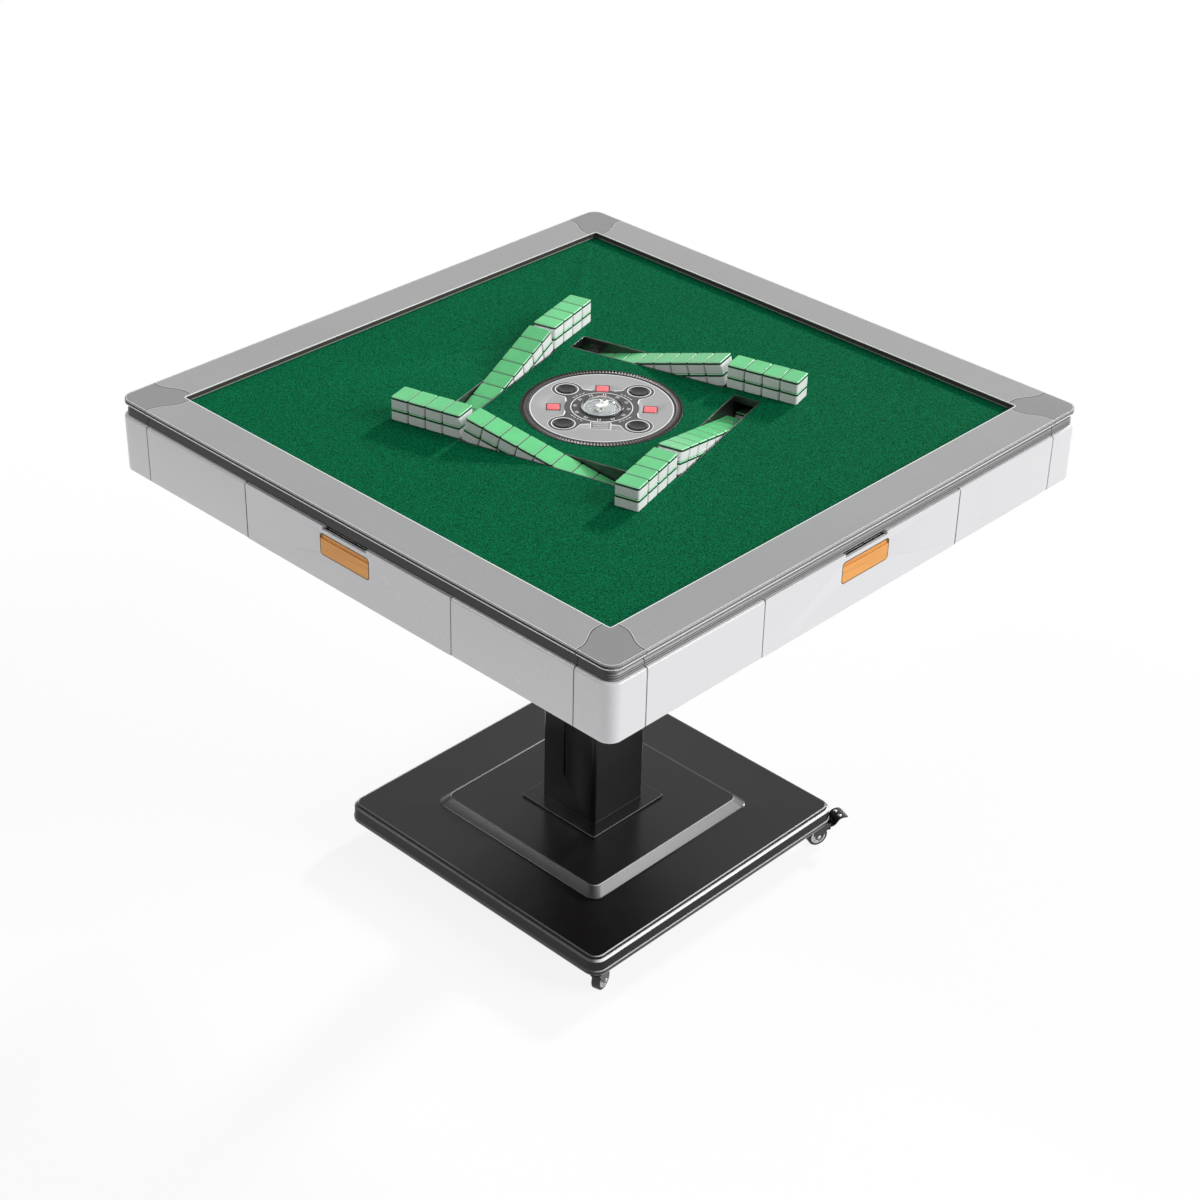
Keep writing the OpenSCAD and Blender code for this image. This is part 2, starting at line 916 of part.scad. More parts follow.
// Square tube with the foot plate and the head plate welded on
module column() {
    inner = column_w - 2 * column_wall;
    color("#2c292a")
        difference() {
            union() {
                rounded_plate(column_w, column_w, column_r, plinth_top, column_top + head_t);
                rounded_plate(foot_w, foot_w, foot_r, plinth_top, column_bottom);
                rounded_plate(head_w, head_w, head_r, column_top, column_top + head_t);
            }
            rounded_plate(inner, inner, column_r - column_wall, column_bottom, column_top);
            translate([-column_w / 2 - over, slit_at - slit_w / 2, column_bottom + slit_low])
                cube([column_wall + 2 * over, slit_w, column_top - column_bottom - slit_low - slit_high]);
            for (x = [-1, 1])
                for (y = [-1, 1]) {
                    translate([x * foot_bolt_at, y * foot_bolt_at, plinth_top - over])
                        cylinder(r = bolt_r + running, h = over + foot_t - seam);
                    translate([x * head_bolt_at, y * head_bolt_at, column_top - over])
                        cylinder(r = bolt_r + running, h = head_t + 2 * over);
                }
        }
}

// Four-sided block with sloped sides, from two crossed prisms
module sloped_block(bottom_w, top_w, z0, z1) {
    intersection_for (turn = [0, 90])
        rotate([0, 0, turn])
            translate([0, bottom_w / 2, 0])
                rotate([90, 0, 0])
                    linear_extrude(bottom_w)
                        polygon([
                            [-bottom_w / 2, z0],
                            [bottom_w / 2, z0],
                            [top_w / 2, z1],
                            [-top_w / 2, z1]
                        ]);
}

// Places of the casters' stems
module at_caster(k) {
    translate([caster_sides[k - 1][0] * caster_x, caster_sides[k - 1][1] * caster_y, 0])
        rotate([0, 0, caster_turns[k - 1]])
            children();
}

// Pressed steel cover with a rim, a plinth for the column and sockets for the casters
module base_cover() {
    top_w = plinth_w - 2 * plinth_run;
    inner_top = plinth_top - sheet_t;
    color("#353132")
        difference() {
            union() {
                rounded_plate(base_w, base_w, base_r, rim_bottom, base_top);
                sloped_block(plinth_w, top_w, base_top, plinth_top);
            }
            difference() {
                rounded_plate(base_w - 2 * sheet_t, base_w - 2 * sheet_t, base_r - sheet_t,
                    rim_bottom - over, base_top - sheet_t);
                for (k = [1:4])
                    at_caster(k)
                        translate([0, 0, crown_top + play])
                            cylinder(r = stem_r + socket_wall, h = base_top - crown_top);
            }
            sloped_block(plinth_w - 2 * sheet_t, top_w - 2 * sheet_t, base_top - sheet_t - play, inner_top);
            for (x = [-1, 1])
                for (y = [-1, 1])
                    translate([x * foot_bolt_at, y * foot_bolt_at, inner_top - over])
                        cylinder(r = bolt_r + running, h = sheet_t + 2 * over);
            for (k = [1:4])
                at_caster(k)
                    translate([0, 0, rim_bottom - over])
                        cylinder(r = stem_r + running, h = crown_top + stem_h + play - rim_bottom + over);
        }
}

// Hexagon bolt from below with its head's top at z
module bolt(z, grip) {
    translate([0, 0, z - bolt_head_h])
        cylinder(r = bolt_head_r, h = bolt_head_h, $fn = 6);
    translate([0, 0, z - bolt_head_h / 2])
        cylinder(r = bolt_r, h = bolt_head_h / 2 + grip);
}

module bolts() {
    color("#a8abad")
        for (x = [-1, 1])
            for (y = [-1, 1]) {
                translate([x * foot_bolt_at, y * foot_bolt_at, 0])
                    bolt(plinth_top - sheet_t, sheet_t + foot_t - 2 * seam);
                translate([x * head_bolt_at, y * head_bolt_at, 0])
                    bolt(column_top, head_t + pan_wall + bolt_head_h / 2);
            }
}

// Side view of a fork's leg
module leg_side(reach) {
    polygon([
        [trail - crown_back, crown_top],
        [reach, crown_top],
        [trail + axle_r + leg_t, wheel_r - axle_r],
        [trail, wheel_r - axle_r - leg_t],
        [trail - axle_r - leg_t, wheel_r - axle_r]
    ]);
}

// Stem, crown and two legs with the wheel's axle
module caster_fork(k) {
    braked = k == 2;
    reach = trail + crown_front;
    color("#1d1d1f")
        at_caster(k)
            difference() {
                union() {
                    translate([0, 0, crown_bottom])
                        cylinder(r = fork_half, h = crown_t);
                    translate([0, 0, crown_bottom])
                        cylinder(r = stem_r, h = crown_t + stem_h);
                    translate([0, -fork_half, crown_bottom])
                        cube([trail, 2 * fork_half, crown_t]);
                    for (y = [-fork_half, fork_half - leg_t])
                        translate([0, y + leg_t, 0])
                            rotate([90, 0, 0])
                                linear_extrude(leg_t)
                                    leg_side(reach);
                    translate([trail, -fork_half, wheel_r])
                        rotate([-90, 0, 0])
                            cylinder(r = axle_r, h = 2 * fork_half);
                    if (braked)
                        for (y = [-fork_half, fork_half - leg_t])
                            translate([trail, y, pedal_z - ear_r])
                                cube([pedal_at + ear_r - trail, leg_t, crown_top - pedal_z + ear_r]);
                }
                if (braked)
                    translate([pedal_at, -fork_half - over, pedal_z])
                        rotate([-90, 0, 0])
                            cylinder(r = pedal_pin_r + running, h = 2 * fork_half + 2 * over);
            }
}

module caster_wheel(k) {
    color("#1a1a1a")
        at_caster(k)
            translate([trail, -wheel_w / 2, wheel_r])
                rotate([-90, 0, 0])
                    difference() {
                        cylinder(r = wheel_r, h = wheel_w);
                        translate([0, 0, -over])
                            cylinder(r = axle_r + running, h = wheel_w + 2 * over);
                        for (z = [-over, wheel_w - hub_sink])
                            translate([0, 0, z])
                                tube(hub_r, hub_r / 2, 0, over + hub_sink);
                    }
}

module brake_pedal() {
    inner = fork_half - leg_t - leg_gap / 2;
    color("#151515")
        at_caster(2) {
            translate([pedal_at, -inner, pedal_z])
                rotate([-90, 0, 0])
                    cylinder(r = pedal_barrel_r, h = 2 * inner);
            translate([pedal_at, -fork_half, pedal_z])
                rotate([-90, 0, 0])
                    cylinder(r = pedal_pin_r, h = 2 * fork_half);
            translate([pedal_at, -inner, pedal_z])
                cube([pedal_barrel_r + leg_gap, 2 * inner, pedal_t]);
            translate([pedal_at + pedal_barrel_r, -pedal_w / 2, pedal_z])
                cube([pedal_len, pedal_w, pedal_t]);
        }
}

bezel_rails();
corner_caps();
neck_trim();
play_board();
felt_cloth();
slot_liners();
apron_panels();
drawer_front(1);  // drawer_front_1
drawer_front(2);  // drawer_front_2
drawer_front(3);  // drawer_front_3
drawer_front(4);  // drawer_front_4
drawer_tray(1);  // drawer_tray_1
drawer_tray(2);  // drawer_tray_2
drawer_tray(3);  // drawer_tray_3
drawer_tray(4);  // drawer_tray_4
drawer_pull(1);  // drawer_pull_1
drawer_pull(2);  // drawer_pull_2
drawer_pull(3);  // drawer_pull_3
drawer_pull(4);  // drawer_pull_4
drawer_runners();
wall_tiles();
ramp_plate(1);  // ramp_plate_1
ramp_plate(2);  // ramp_plate_2
ramp_plate(3);  // ramp_plate_3
ramp_plate(4);  // ramp_plate_4
ramp_tiles(1);  // ramp_tiles_1
ramp_tiles(2);  // ramp_tiles_2
ramp_tiles(3);  // ramp_tiles_3
ramp_tiles(4);  // ramp_tiles_4
chassis_frame();
floor_plate();
belly_pan();
control_plate();
knurled_ring();
lift_housing();
round_button(1);  // round_button_1
round_button(2);  // round_button_2
round_button(3);  // round_button_3
round_button(4);  // round_button_4
lamp_lenses();
dice_dome();
dice_table();
dice();
mixing_drum();
guide_bush();
drum_motor();
drive_wheel();
control_box();
column();
base_cover();
caster_fork(1);  // caster_fork_1
caster_fork(2);  // caster_fork_2
caster_fork(3);  // caster_fork_3
caster_fork(4);  // caster_fork_4
caster_wheel(1);  // caster_wheel_1
caster_wheel(2);  // caster_wheel_2
caster_wheel(3);  // caster_wheel_3
caster_wheel(4);  // caster_wheel_4
brake_pedal();
bolts();
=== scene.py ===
"""Looks of a machine-dealt mahjong table with four drawers, on a column foot.

Every piece is worked out in millimetres in the frame's own axes, Z up, and scaled to metres as
its mesh is made. The near sides of the table face -X and -Y.
"""

import math

import bmesh
import bpy
import numpy as np
from bpy.props import FloatProperty, FloatVectorProperty, IntProperty, PointerProperty
from mathutils import Matrix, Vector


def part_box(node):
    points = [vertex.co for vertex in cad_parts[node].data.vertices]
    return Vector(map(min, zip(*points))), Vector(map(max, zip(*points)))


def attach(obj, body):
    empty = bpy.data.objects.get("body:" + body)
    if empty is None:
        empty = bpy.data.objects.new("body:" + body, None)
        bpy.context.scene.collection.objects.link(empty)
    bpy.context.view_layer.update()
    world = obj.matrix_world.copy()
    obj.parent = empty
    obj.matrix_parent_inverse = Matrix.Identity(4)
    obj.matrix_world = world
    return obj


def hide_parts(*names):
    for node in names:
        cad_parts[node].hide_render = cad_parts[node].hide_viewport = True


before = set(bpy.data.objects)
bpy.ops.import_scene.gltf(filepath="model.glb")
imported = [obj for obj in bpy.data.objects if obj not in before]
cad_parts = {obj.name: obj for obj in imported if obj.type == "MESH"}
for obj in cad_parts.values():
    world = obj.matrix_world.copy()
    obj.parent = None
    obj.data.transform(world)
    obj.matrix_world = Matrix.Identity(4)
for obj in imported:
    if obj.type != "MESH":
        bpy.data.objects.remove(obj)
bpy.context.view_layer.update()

bl_info = {
    "name": "Mahjong table looks",
    "version": (1, 0, 0),
    "blender": (4, 5, 0),
    "location": "3D View > Sidebar > Mahjong table",
    "description": "Builds the visible pieces and finishes of a mahjong table around its frame",
    "category": "Object",
}

MM = 0.001
SIDES = (1, 2, 3, 4)

# Half widths and corner radii of the squares that make up the top, and the seams in its sides
BEZEL_HALF, BEZEL_CORNER, BEZEL_WIDTH = 470, 19, 63.4
OPENING_HALF = 406.6
NECK_HALF, NECK_CORNER = 467, 16
APRON_HALF, APRON_CORNER = 471.5, 19
CAP_SEAM = 411
CORNER_SEAM, DRAWER_SEAM = 410.0, 198.5
FELT_TOP = 750.8

# Tiles, and the four walls that they stand in
TILE_WIDE, TILE_LONG, TILE_THICK = 27, 36, 17.8
TILE_STEP, TIER_STEP, WALL_LINE = 27.4, 17.9, -161.8
WALL_TURN = 15.25
RAMP_SLOPE = 14.57
HINGE = (-114.3, 746.8)

# Round unit: its buttons, and the dice under their dome
BUTTON_REACH, BUTTON_TURN = 71.9, -3.0
DOME_RADIUS, DOME_WALL, DOME_MIDDLE = 33.63, 1.4, 732.17
DIE_SIZE, DIE_ROUND = 9.0, 1.1

# Base: half length of the straight part of its sides, and each caster's pivot and turn
BASE_STRAIGHT = 243
CASTERS = ((-214, -243, 195), (214, -243, -20), (214, 243, -70), (-214, 243, -115))


def tone(code):
    """Linear red, green and blue of a colour written as six hexadecimal digits."""
    level = np.array([int(code[i:i + 2], 16) for i in (0, 2, 4)]) / 255
    linear = np.where(level <= 0.04045, level / 12.92, ((level + 0.055) / 1.055) ** 2.4)
    return tuple(float(v) for v in linear)


def full(colour):
    """A colour, or its hexadecimal digits, with the fourth value that a socket wants."""
    return (*tuple(tone(colour) if isinstance(colour, str) else colour)[:3], 1.0)


def darker(colour, by):
    """A colour multiplied by a share."""
    return tuple(v * by for v in full(colour)[:3])


# ---------------------------------------------------------------- sizes and colours to change

def length(name, default, note, low=0.0, high=1.0):
    """A length in metres, from a default in millimetres."""
    return FloatProperty(name=name, description=note, default=default * MM, min=low,
                         max=high, unit="LENGTH", precision=5)


def colour(name, code, note):
    """A colour, from a default in hexadecimal digits."""
    return FloatVectorProperty(name=name, description=note, default=tone(code), min=0, max=1,
                               size=3, subtype="COLOR")


class TopFinish(bpy.types.PropertyGroup):
    """Bezel, neck and apron"""
    bezel_colour: colour("Bezel", "9a9a9b", "Satin paint of the rails")
    cap_colour: colour("Corner cap", "858586", "Satin paint of the corner caps")
    bezel_ease: length("Bezel edge", 0.9, "Width of the eased edge of rails and caps")
    neck_colour: colour("Neck", "27282a", "Dark band under the bezel")
    apron_colour: colour("Apron", "dcdcde", "Gloss white of the panels and drawer fronts")
    apron_lip: length("Apron lip", 4.5, "Radius of the apron's top edge")
    apron_foot: length("Apron foot", 2.5, "Radius of the apron's bottom edge")


class ClothFinish(bpy.types.PropertyGroup):
    """Playing cloth"""
    green: colour("Cloth", "037b4e", "Main green of the cloth")
    deep_green: colour("Cloth shade", "00331e", "Darker green between the fibres")
    fibre_size: length("Fibre", 1.1, "Size of the cloth's fine speckle")


class TileFinish(bpy.types.PropertyGroup):
    """Tiles"""
    back_colour: colour("Tile back", "62cf84", "Light green back of a tile")
    body_colour: colour("Tile body", "ffffff", "White body of a tile")
    # Painted shade: the sides of the green back are painted a darker green, alike on every side.
    flank_shade_colour: colour("Back flank shade", "0f5f38", "Side of the green back")
    line_colour: colour("Joint line", "042415", "Line where back and body meet")
    back_depth: length("Back depth", 3.6, "Thickness of the green back")
    edge_round: length("Edge rounding", 1.6, "Radius of a tile's edges")


class CentreFinish(bpy.types.PropertyGroup):
    """Round unit in the middle"""
    plate_colour: colour("Plate", "a3a3a3", "Satin silver of the control plate")
    insert_colour: colour("Insert", "3f3f40", "Dark shape round the buttons")
    print_colour: colour("Print", "fbfbfb", "Thin white lines")
    ring_colour: colour("Ring", "746c69", "Knurled ring")
    lamp_colour: colour("Lamp", "ff6a72", "Square lamps")
    button_colour: colour("Button", "0c0c0d", "Round buttons")
    teeth: IntProperty(name="Teeth", description="Teeth round the knurled ring", default=150,
                       min=60, max=360)
    tooth_depth: length("Tooth depth", 1.3, "Depth of the knurling")
    insert_disc: length("Insert disc", 53.0, "Radius of the insert's middle")
    insert_lobe: length("Insert lobe", 20.5, "Radius of the insert round a button")


class DrawerFinish(bpy.types.PropertyGroup):
    """Drawers"""
    wood_colour: colour("Pull", "f4aa4f", "Tan wood of the pulls")
    wood_dark: colour("Pull grain", "d08632", "Darker grain of the pulls")
    tray_colour: colour("Tray", "8f9194", "Moulded drawer tray")


class FootFinish(bpy.types.PropertyGroup):
    """Column and base"""
    steel_colour: colour("Painted steel", "121011", "Dark satin paint of column and base")
    plinth_corner: length("Plinth corner", 15.0, "Radius of the plinth's corners")
    plate_ease: length("Plate edge", 0.7, "Eased edge of the foot plate and head plate")


class CasterFinish(bpy.types.PropertyGroup):
    """Casters"""
    cover_colour: colour("Fork", "2e2f31", "Moulded fork cover")
    tread_colour: colour("Tread", "101011", "Rubber tread")
    spokes: IntProperty(name="Spokes", description="Ribs in a wheel's face", default=9, min=3,
                        max=16)


class StageFinish(bpy.types.PropertyGroup):
    """Floor, light and camera"""
    lens: FloatProperty(name="Lens", description="Focal length on a 36 mm sensor, in mm",
                        default=73.234, min=10, max=300)
    low_sun: FloatProperty(name="Low sun", description="Strength of the low light from +X",
                           default=2.55, min=0, max=20)
    front_light: FloatProperty(name="Front light", description="Strength of the light from -Y",
                               default=2.25, min=0, max=20)
    sky: FloatProperty(name="Sky", description="Even light from all round", default=0.27, min=0,
                       max=2)


# ---------------------------------------------------------------- outlines and grids

def unit(vectors):
    """Each vector divided by its own length."""
    return vectors / np.linalg.norm(vectors, axis=-1, keepdims=True)


def turned(points, degrees):
    """Points turned about Z: x cos a - y sin a, x sin a + y cos a."""
    a = math.radians(degrees)
    turn = np.array([[math.cos(a), math.sin(a)], [-math.sin(a), math.cos(a)]])
    made = np.array(points, float)
    made[..., :2] = made[..., :2] @ turn
    return made


def on_ramp(points):
    """Points leant down the ramp: turned about Y at the hinge, then moved to it."""
    a = math.radians(RAMP_SLOPE)
    made = np.array(points, float)
    x, z = made[..., 0].copy(), made[..., 2].copy()
    made[..., 0] = x * math.cos(a) + z * math.sin(a) + HINGE[0]
    made[..., 2] = z * math.cos(a) - x * math.sin(a) + HINGE[1]
    return made


def at_wall(points, k):
    """Points put in the frame of tile wall k, side 1 at -X."""
    return turned(points, WALL_TURN - 90 + 90 * (k - 1))


def eased(corners, radii, steps=4):
    """Closed outline with an arc at each corner. An arc's centre lies on the corner's bisector
    at radius / sin(half angle), and its points run between the two tangent points."""
    p, r = np.asarray(corners, float), np.asarray(radii, float)
    back, on = unit(np.roll(p, 1, 0) - p), unit(np.roll(p, -1, 0) - p)
    half = np.arccos(np.clip((back * on).sum(1), -1, 1)) / 2
    centre = p + unit(back + on) * (r / np.sin(half))[:, None]
    first = p + back * (r / np.tan(half))[:, None] - centre
    last = p + on * (r / np.tan(half))[:, None] - centre
    a0, a1 = np.arctan2(first[:, 1], first[:, 0]), np.arctan2(last[:, 1], last[:, 0])
    sweep = (a1 - a0 + np.pi) % (2 * np.pi) - np.pi
    a = a0[:, None] + sweep[:, None] * np.linspace(0, 1, steps + 1)
    arc = np.stack([np.cos(a), np.sin(a)], -1) * r[:, None, None]
    return (centre[:, None] + arc).reshape(-1, 2)


def inwards(outline):
    """Unit steps into a closed outline, from the normals of the two edges at each point."""
    edge = unit(np.roll(outline, -1, 0) - outline)
    normal = np.stack([edge[:, 1], -edge[:, 0]], -1)
    area = (outline[:, 0] * np.roll(outline[:, 1], -1) - np.roll(outline[:, 0], -1)
            * outline[:, 1]).sum()
    return -unit(normal + np.roll(normal, 1, 0)) * np.sign(area)


def grid(rows, cols, wrap_rows=False, wrap_cols=False):
    """Four-sided faces of a grid of points, closed on itself either way."""
    i = np.arange(rows if wrap_rows else rows - 1)[:, None]
    j = np.arange(cols if wrap_cols else cols - 1)[None]
    i1, j1 = (i + 1) % rows, (j + 1) % cols
    return np.stack([i * cols + j, i * cols + j1, i1 * cols + j1, i1 * cols + j],
                    -1).reshape(-1, 4)


def capped(rows, cols):
    """Faces of a tube of points, row by row, with a flat face at each end."""
    ring = np.arange(cols)[None]
    return [grid(rows, cols, False, True), ring[:, ::-1], ring + (rows - 1) * cols]


def joined(*shapes):
    """Several shapes as one: points stacked, faces counted on."""
    points, faces, count = [], [], 0
    for p, f in shapes:
        points.append(p)
        faces += [g + count for g in f]
        count += len(p)
    return np.concatenate(points), faces


def moved(shape, x=0.0, y=0.0, z=0.0):
    """A shape shifted."""
    return shape[0] + np.array([x, y, z]), shape[1]


def repeated(faces, copies, count):
    """Faces of copies that follow each other, each with count points."""
    step = (np.arange(copies) * count)[:, None, None]
    return [(f[None] + step).reshape(-1, f.shape[1]) for f in faces]


def many(shape, places):
    """One shape at many places: each place is a 3 x 4 turn and shift."""
    p, faces = shape
    places = np.asarray(places, float)
    made = np.einsum("nij,mj->nmi", places[:, :, :3], p) + places[:, None, :, 3]
    return made.reshape(-1, 3), repeated(faces, len(places), len(p))


def place(x=0.0, y=0.0, z=0.0, degrees=0.0):
    """Turn about Z and shift, as a 3 x 4 array."""
    a = math.radians(degrees)
    return np.array([[math.cos(a), -math.sin(a), 0, x], [math.sin(a), math.cos(a), 0, y],
                     [0, 0, 1, z]])


def around(radius, degrees, z=0.0, turn=0.0):
    """Place at an angle round Z, turned with it and by turn more."""
    a = math.radians(degrees)
    return place(radius * math.cos(a), radius * math.sin(a), z, degrees + turn)


def spun(profile, steps=64, closed=True):
    """Profile of (radius, height) carried round Z: x = r cos t, y = r sin t. A closed profile
    makes a ring, an open one starts and ends on the axis."""
    t = np.linspace(0, 2 * np.pi, steps, endpoint=False)[:, None]
    r, h = np.asarray(profile, float).T
    points = np.stack([r * np.cos(t), r * np.sin(t), h + 0 * t], -1)
    return points.reshape(-1, 3), [grid(steps, len(r), True, closed)]


def flat_ring(inner, outer, low, high, steps=96):
    """Flat ring with square edges."""
    return spun([(inner, low), (outer, low), (outer, high), (inner, high)], steps)


def loft(rows, steps=8, closed=False):
    """Stack of rounded squares joined row to row; an open stack ends in flat faces. A row is
    (half width, corner radius, height): a corner's centre is half - radius from the middle both
    ways, its points a quarter circle about it."""
    rows = np.asarray(rows, float)
    a = (np.arange(4)[:, None] * 90 + np.linspace(0, 90, steps + 1)).ravel()
    c = np.repeat(np.arange(4) * 90 + 45, steps + 1)
    out = np.stack([np.cos(np.radians(a)), np.sin(np.radians(a))], -1)
    mid = np.stack([np.cos(np.radians(c)), np.sin(np.radians(c))], -1) * math.sqrt(2)
    flat = mid * (rows[:, 0] - rows[:, 1])[:, None, None] + out * rows[:, 1][:, None, None]
    high = np.broadcast_to(rows[:, 2][:, None, None], flat.shape[:2] + (1,))
    points = np.concatenate([flat, high], -1).reshape(-1, 3)
    n = len(out)
    return points, [grid(len(rows), n, True, True)] if closed else capped(len(rows), n)


def ring_strip(half, corner, section):
    """Thin closed strip round a rounded square; its section is (step out from half, height)."""
    return loft([(half + d, max(corner + d, 0.2), z) for d, z in section], closed=True)


def ribbon(path, half_width, low, high):
    """Flat strip along a level path: each point steps to both sides along the path's normal."""
    ahead = unit(np.gradient(path, axis=0))
    side = np.stack([-ahead[:, 1], ahead[:, 0]], -1) * half_width
    ring = np.stack([path - side, path + side, path + side, path - side], 1)
    z = np.broadcast_to([low, low, high, high], ring.shape[:2])
    return np.concatenate([ring, z[..., None]], -1).reshape(-1, 3), capped(len(path), 4)


def lit_side_share(points, low):
    """Share of painted highlight by side: low at the sides facing X, one at those facing Y, which
    the front lamp lights, blended over 16 mm round the corners."""
    across = np.abs(points[:, 1]) - np.abs(points[:, 0])
    return np.clip(across / 16 + 0.5, low, 1)


def four_sides(*shapes):
    """Shapes made at the +X side, put at all four."""
    return joined(*((turned(p, 90 * k), f) for k in SIDES for p, f in shapes))


def block(width, depth, low, high, ease):
    """Plain bar with eased edges, made from two insets at its ends."""
    rows = np.array([(ease, low), (0, low + ease), (0, high - ease), (ease, high)])
    x = np.array([-1, 1, 1, -1]) * (width / 2 - rows[:, :1])
    y = np.array([-1, -1, 1, 1]) * (depth / 2 - rows[:, :1])
    return np.stack([x, y, rows[:, 1:] + 0 * x], -1).reshape(-1, 3), capped(4, 4)


def carried(profile, line, base, out, ease):
    """Closed profile of (distance from the middle, height) carried along the points of base. It
    steps out from them by its distance less line, and shrinks by ease at both ends."""
    shrink = np.zeros(len(base))
    shrink[[0, -1]] = ease
    shape = profile[None] + shrink[:, None, None] * inwards(profile)[None]
    flat = base[:, None] + out[:, None] * (shape[..., :1] - line)
    points = np.concatenate([flat, shape[..., 1:]], -1).reshape(-1, 3)
    return points, capped(len(base), len(profile))


def side_run(profile, line, start, end, ease):
    """Profile carried along the side at +X from start to end."""
    along = np.array([start, start + ease, end - ease, end])
    return carried(profile, line, np.stack([np.full(4, line), along], -1),
                   np.repeat([[1.0, 0.0]], 4, 0), ease)


def corner_run(profile, line, start, ease, steps):
    """Profile carried round the corner at +X +Y, from start on each side of it."""
    a = np.radians(np.linspace(0, 90, steps + 1))
    one = np.array([(line, start), (line, start + ease)])
    base = np.concatenate([one, np.full((steps + 1, 2), line), one[::-1, ::-1]])
    out = np.concatenate([[(1, 0)] * 2, np.stack([np.cos(a), np.sin(a)], -1), [(0, 1)] * 2])
    return carried(profile, line, base, out, ease)


# ---------------------------------------------------------------- meshes and their objects

def put(name, shape, body, finish, sharp=40, merge=False, stands_for=(), values=None):
    """Puts a shape worked out in millimetres into a mesh, faces outwards, and ties the object
    to its body and finish."""
    points, faces = shape
    mesh = bpy.data.meshes.new(name)
    mesh.from_pydata((np.asarray(points) * MM).tolist(), [],
                     [f for group in faces for f in group.tolist()])
    for key, numbers in (values or {}).items():
        mesh.attributes.new(key, "FLOAT", "POINT").data.foreach_set(
            "value", np.asarray(numbers, np.float32))
    bm = bmesh.new()
    bm.from_mesh(mesh)
    if merge:
        bmesh.ops.remove_doubles(bm, verts=bm.verts, dist=1e-6)
    bmesh.ops.recalc_face_normals(bm, faces=bm.faces)
    bm.to_mesh(mesh)
    bm.free()
    return settle(name, mesh, body, finish, sharp, stands_for)


def settle(name, mesh, body, finish, sharp, stands_for):
    """Makes the object of a finished mesh and ties it to the frame."""
    mesh.materials.clear()
    mesh.materials.append(finish)
    mesh.polygons.foreach_set("use_smooth", np.ones(len(mesh.polygons), bool))
    mesh.set_sharp_from_angle(angle=math.radians(sharp))
    mesh.update()
    piece = bpy.data.objects.new(name, mesh)
    bpy.context.scene.collection.objects.link(piece)
    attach(piece, body)
    if stands_for:
        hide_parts(*stands_for)
    return piece


def dressed(name, node, body, finish, ease, segments):
    """Copy of a CAD node with its loose triangles merged, flat faces made whole and every
    sharp edge eased by a bevel that keeps the flats flat."""
    bm = bmesh.new()
    bm.from_mesh(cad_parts[node].data)
    bmesh.ops.remove_doubles(bm, verts=bm.verts, dist=2e-6)
    bmesh.ops.dissolve_limit(bm, angle_limit=math.radians(0.6), verts=bm.verts, edges=bm.edges)
    mesh = bpy.data.meshes.new(name)
    bm.to_mesh(mesh)
    bm.free()
    piece = settle(name, mesh, body, finish, 40, [node])
    bevel = piece.modifiers.new("Eased edges", "BEVEL")
    bevel.width = ease * MM
    bevel.segments = segments
    bevel.limit_method = "ANGLE"
    bevel.angle_limit = math.radians(35)
    bevel.harden_normals = True
    bevel.miter_outer = "MITER_ARC"
    return piece


def keep(node, finish):
    """Leaves a CAD node as it is and gives it its finish."""
    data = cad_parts[node].data
    data.materials.clear()
    data.materials.append(finish)


# ---------------------------------------------------------------- nodes of the finishes

def feed(tree, node, inputs):
    """Puts a value or a link on each of a node's inputs."""
    for key, value in inputs.items():
        if isinstance(value, bpy.types.NodeSocket):
            tree.links.new(value, node.inputs[key])
        else:
            node.inputs[key].default_value = value


def add(tree, kind, inputs=None, **settings):
    """Adds a node, with its settings and with values or links on its inputs."""
    made = tree.nodes.new(kind)
    for key, value in settings.items():
        setattr(made, key, value)
    feed(tree, made, inputs or {})
    return made


def maths(tree, kind, first, second, clamp=False):
    """Result of two values."""
    return add(tree, "ShaderNodeMath", {0: first, 1: second}, operation=kind,
               use_clamp=clamp).outputs[0]


def scaled(tree, vector, by):
    """Vector multiplied axis by axis."""
    return add(tree, "ShaderNodeVectorMath", {0: vector, 1: by}, operation="MULTIPLY").outputs[0]


def blended(tree, share, first, second):
    """Colour between two, by share."""
    return add(tree, "ShaderNodeMix", {0: share, 6: first, 7: second}, data_type="RGBA").outputs[2]


def noise(tree, vector, scale, detail=3.0, rough=0.5):
    """Noise value at a scale, which may be a socket."""
    return add(tree, "ShaderNodeTexNoise", {"Vector": vector, "Scale": scale, "Detail": detail,
                                            "Roughness": rough}).outputs["Fac"]


def spread(tree, value, low, high, to_low=0.0, to_high=1.0):
    """Value stretched from one range to another and kept inside it."""
    return add(tree, "ShaderNodeMapRange", {"Value": value, "From Min": low, "From Max": high,
                                            "To Min": to_low, "To Max": to_high}).outputs[0]


def bumped(tree, height, strength, depth):
    """Normal of a surface bumped by a height, which is depth metres high at one."""
    return add(tree, "ShaderNodeBump", {"Height": height, "Strength": strength,
                                        "Distance": depth}).outputs[0]


def attribute(tree, name):
    """Number that a mesh carries at each point."""
    return add(tree, "ShaderNodeAttribute", attribute_name=name).outputs["Fac"]


# ---------------------------------------------------------------- effects that finishes share

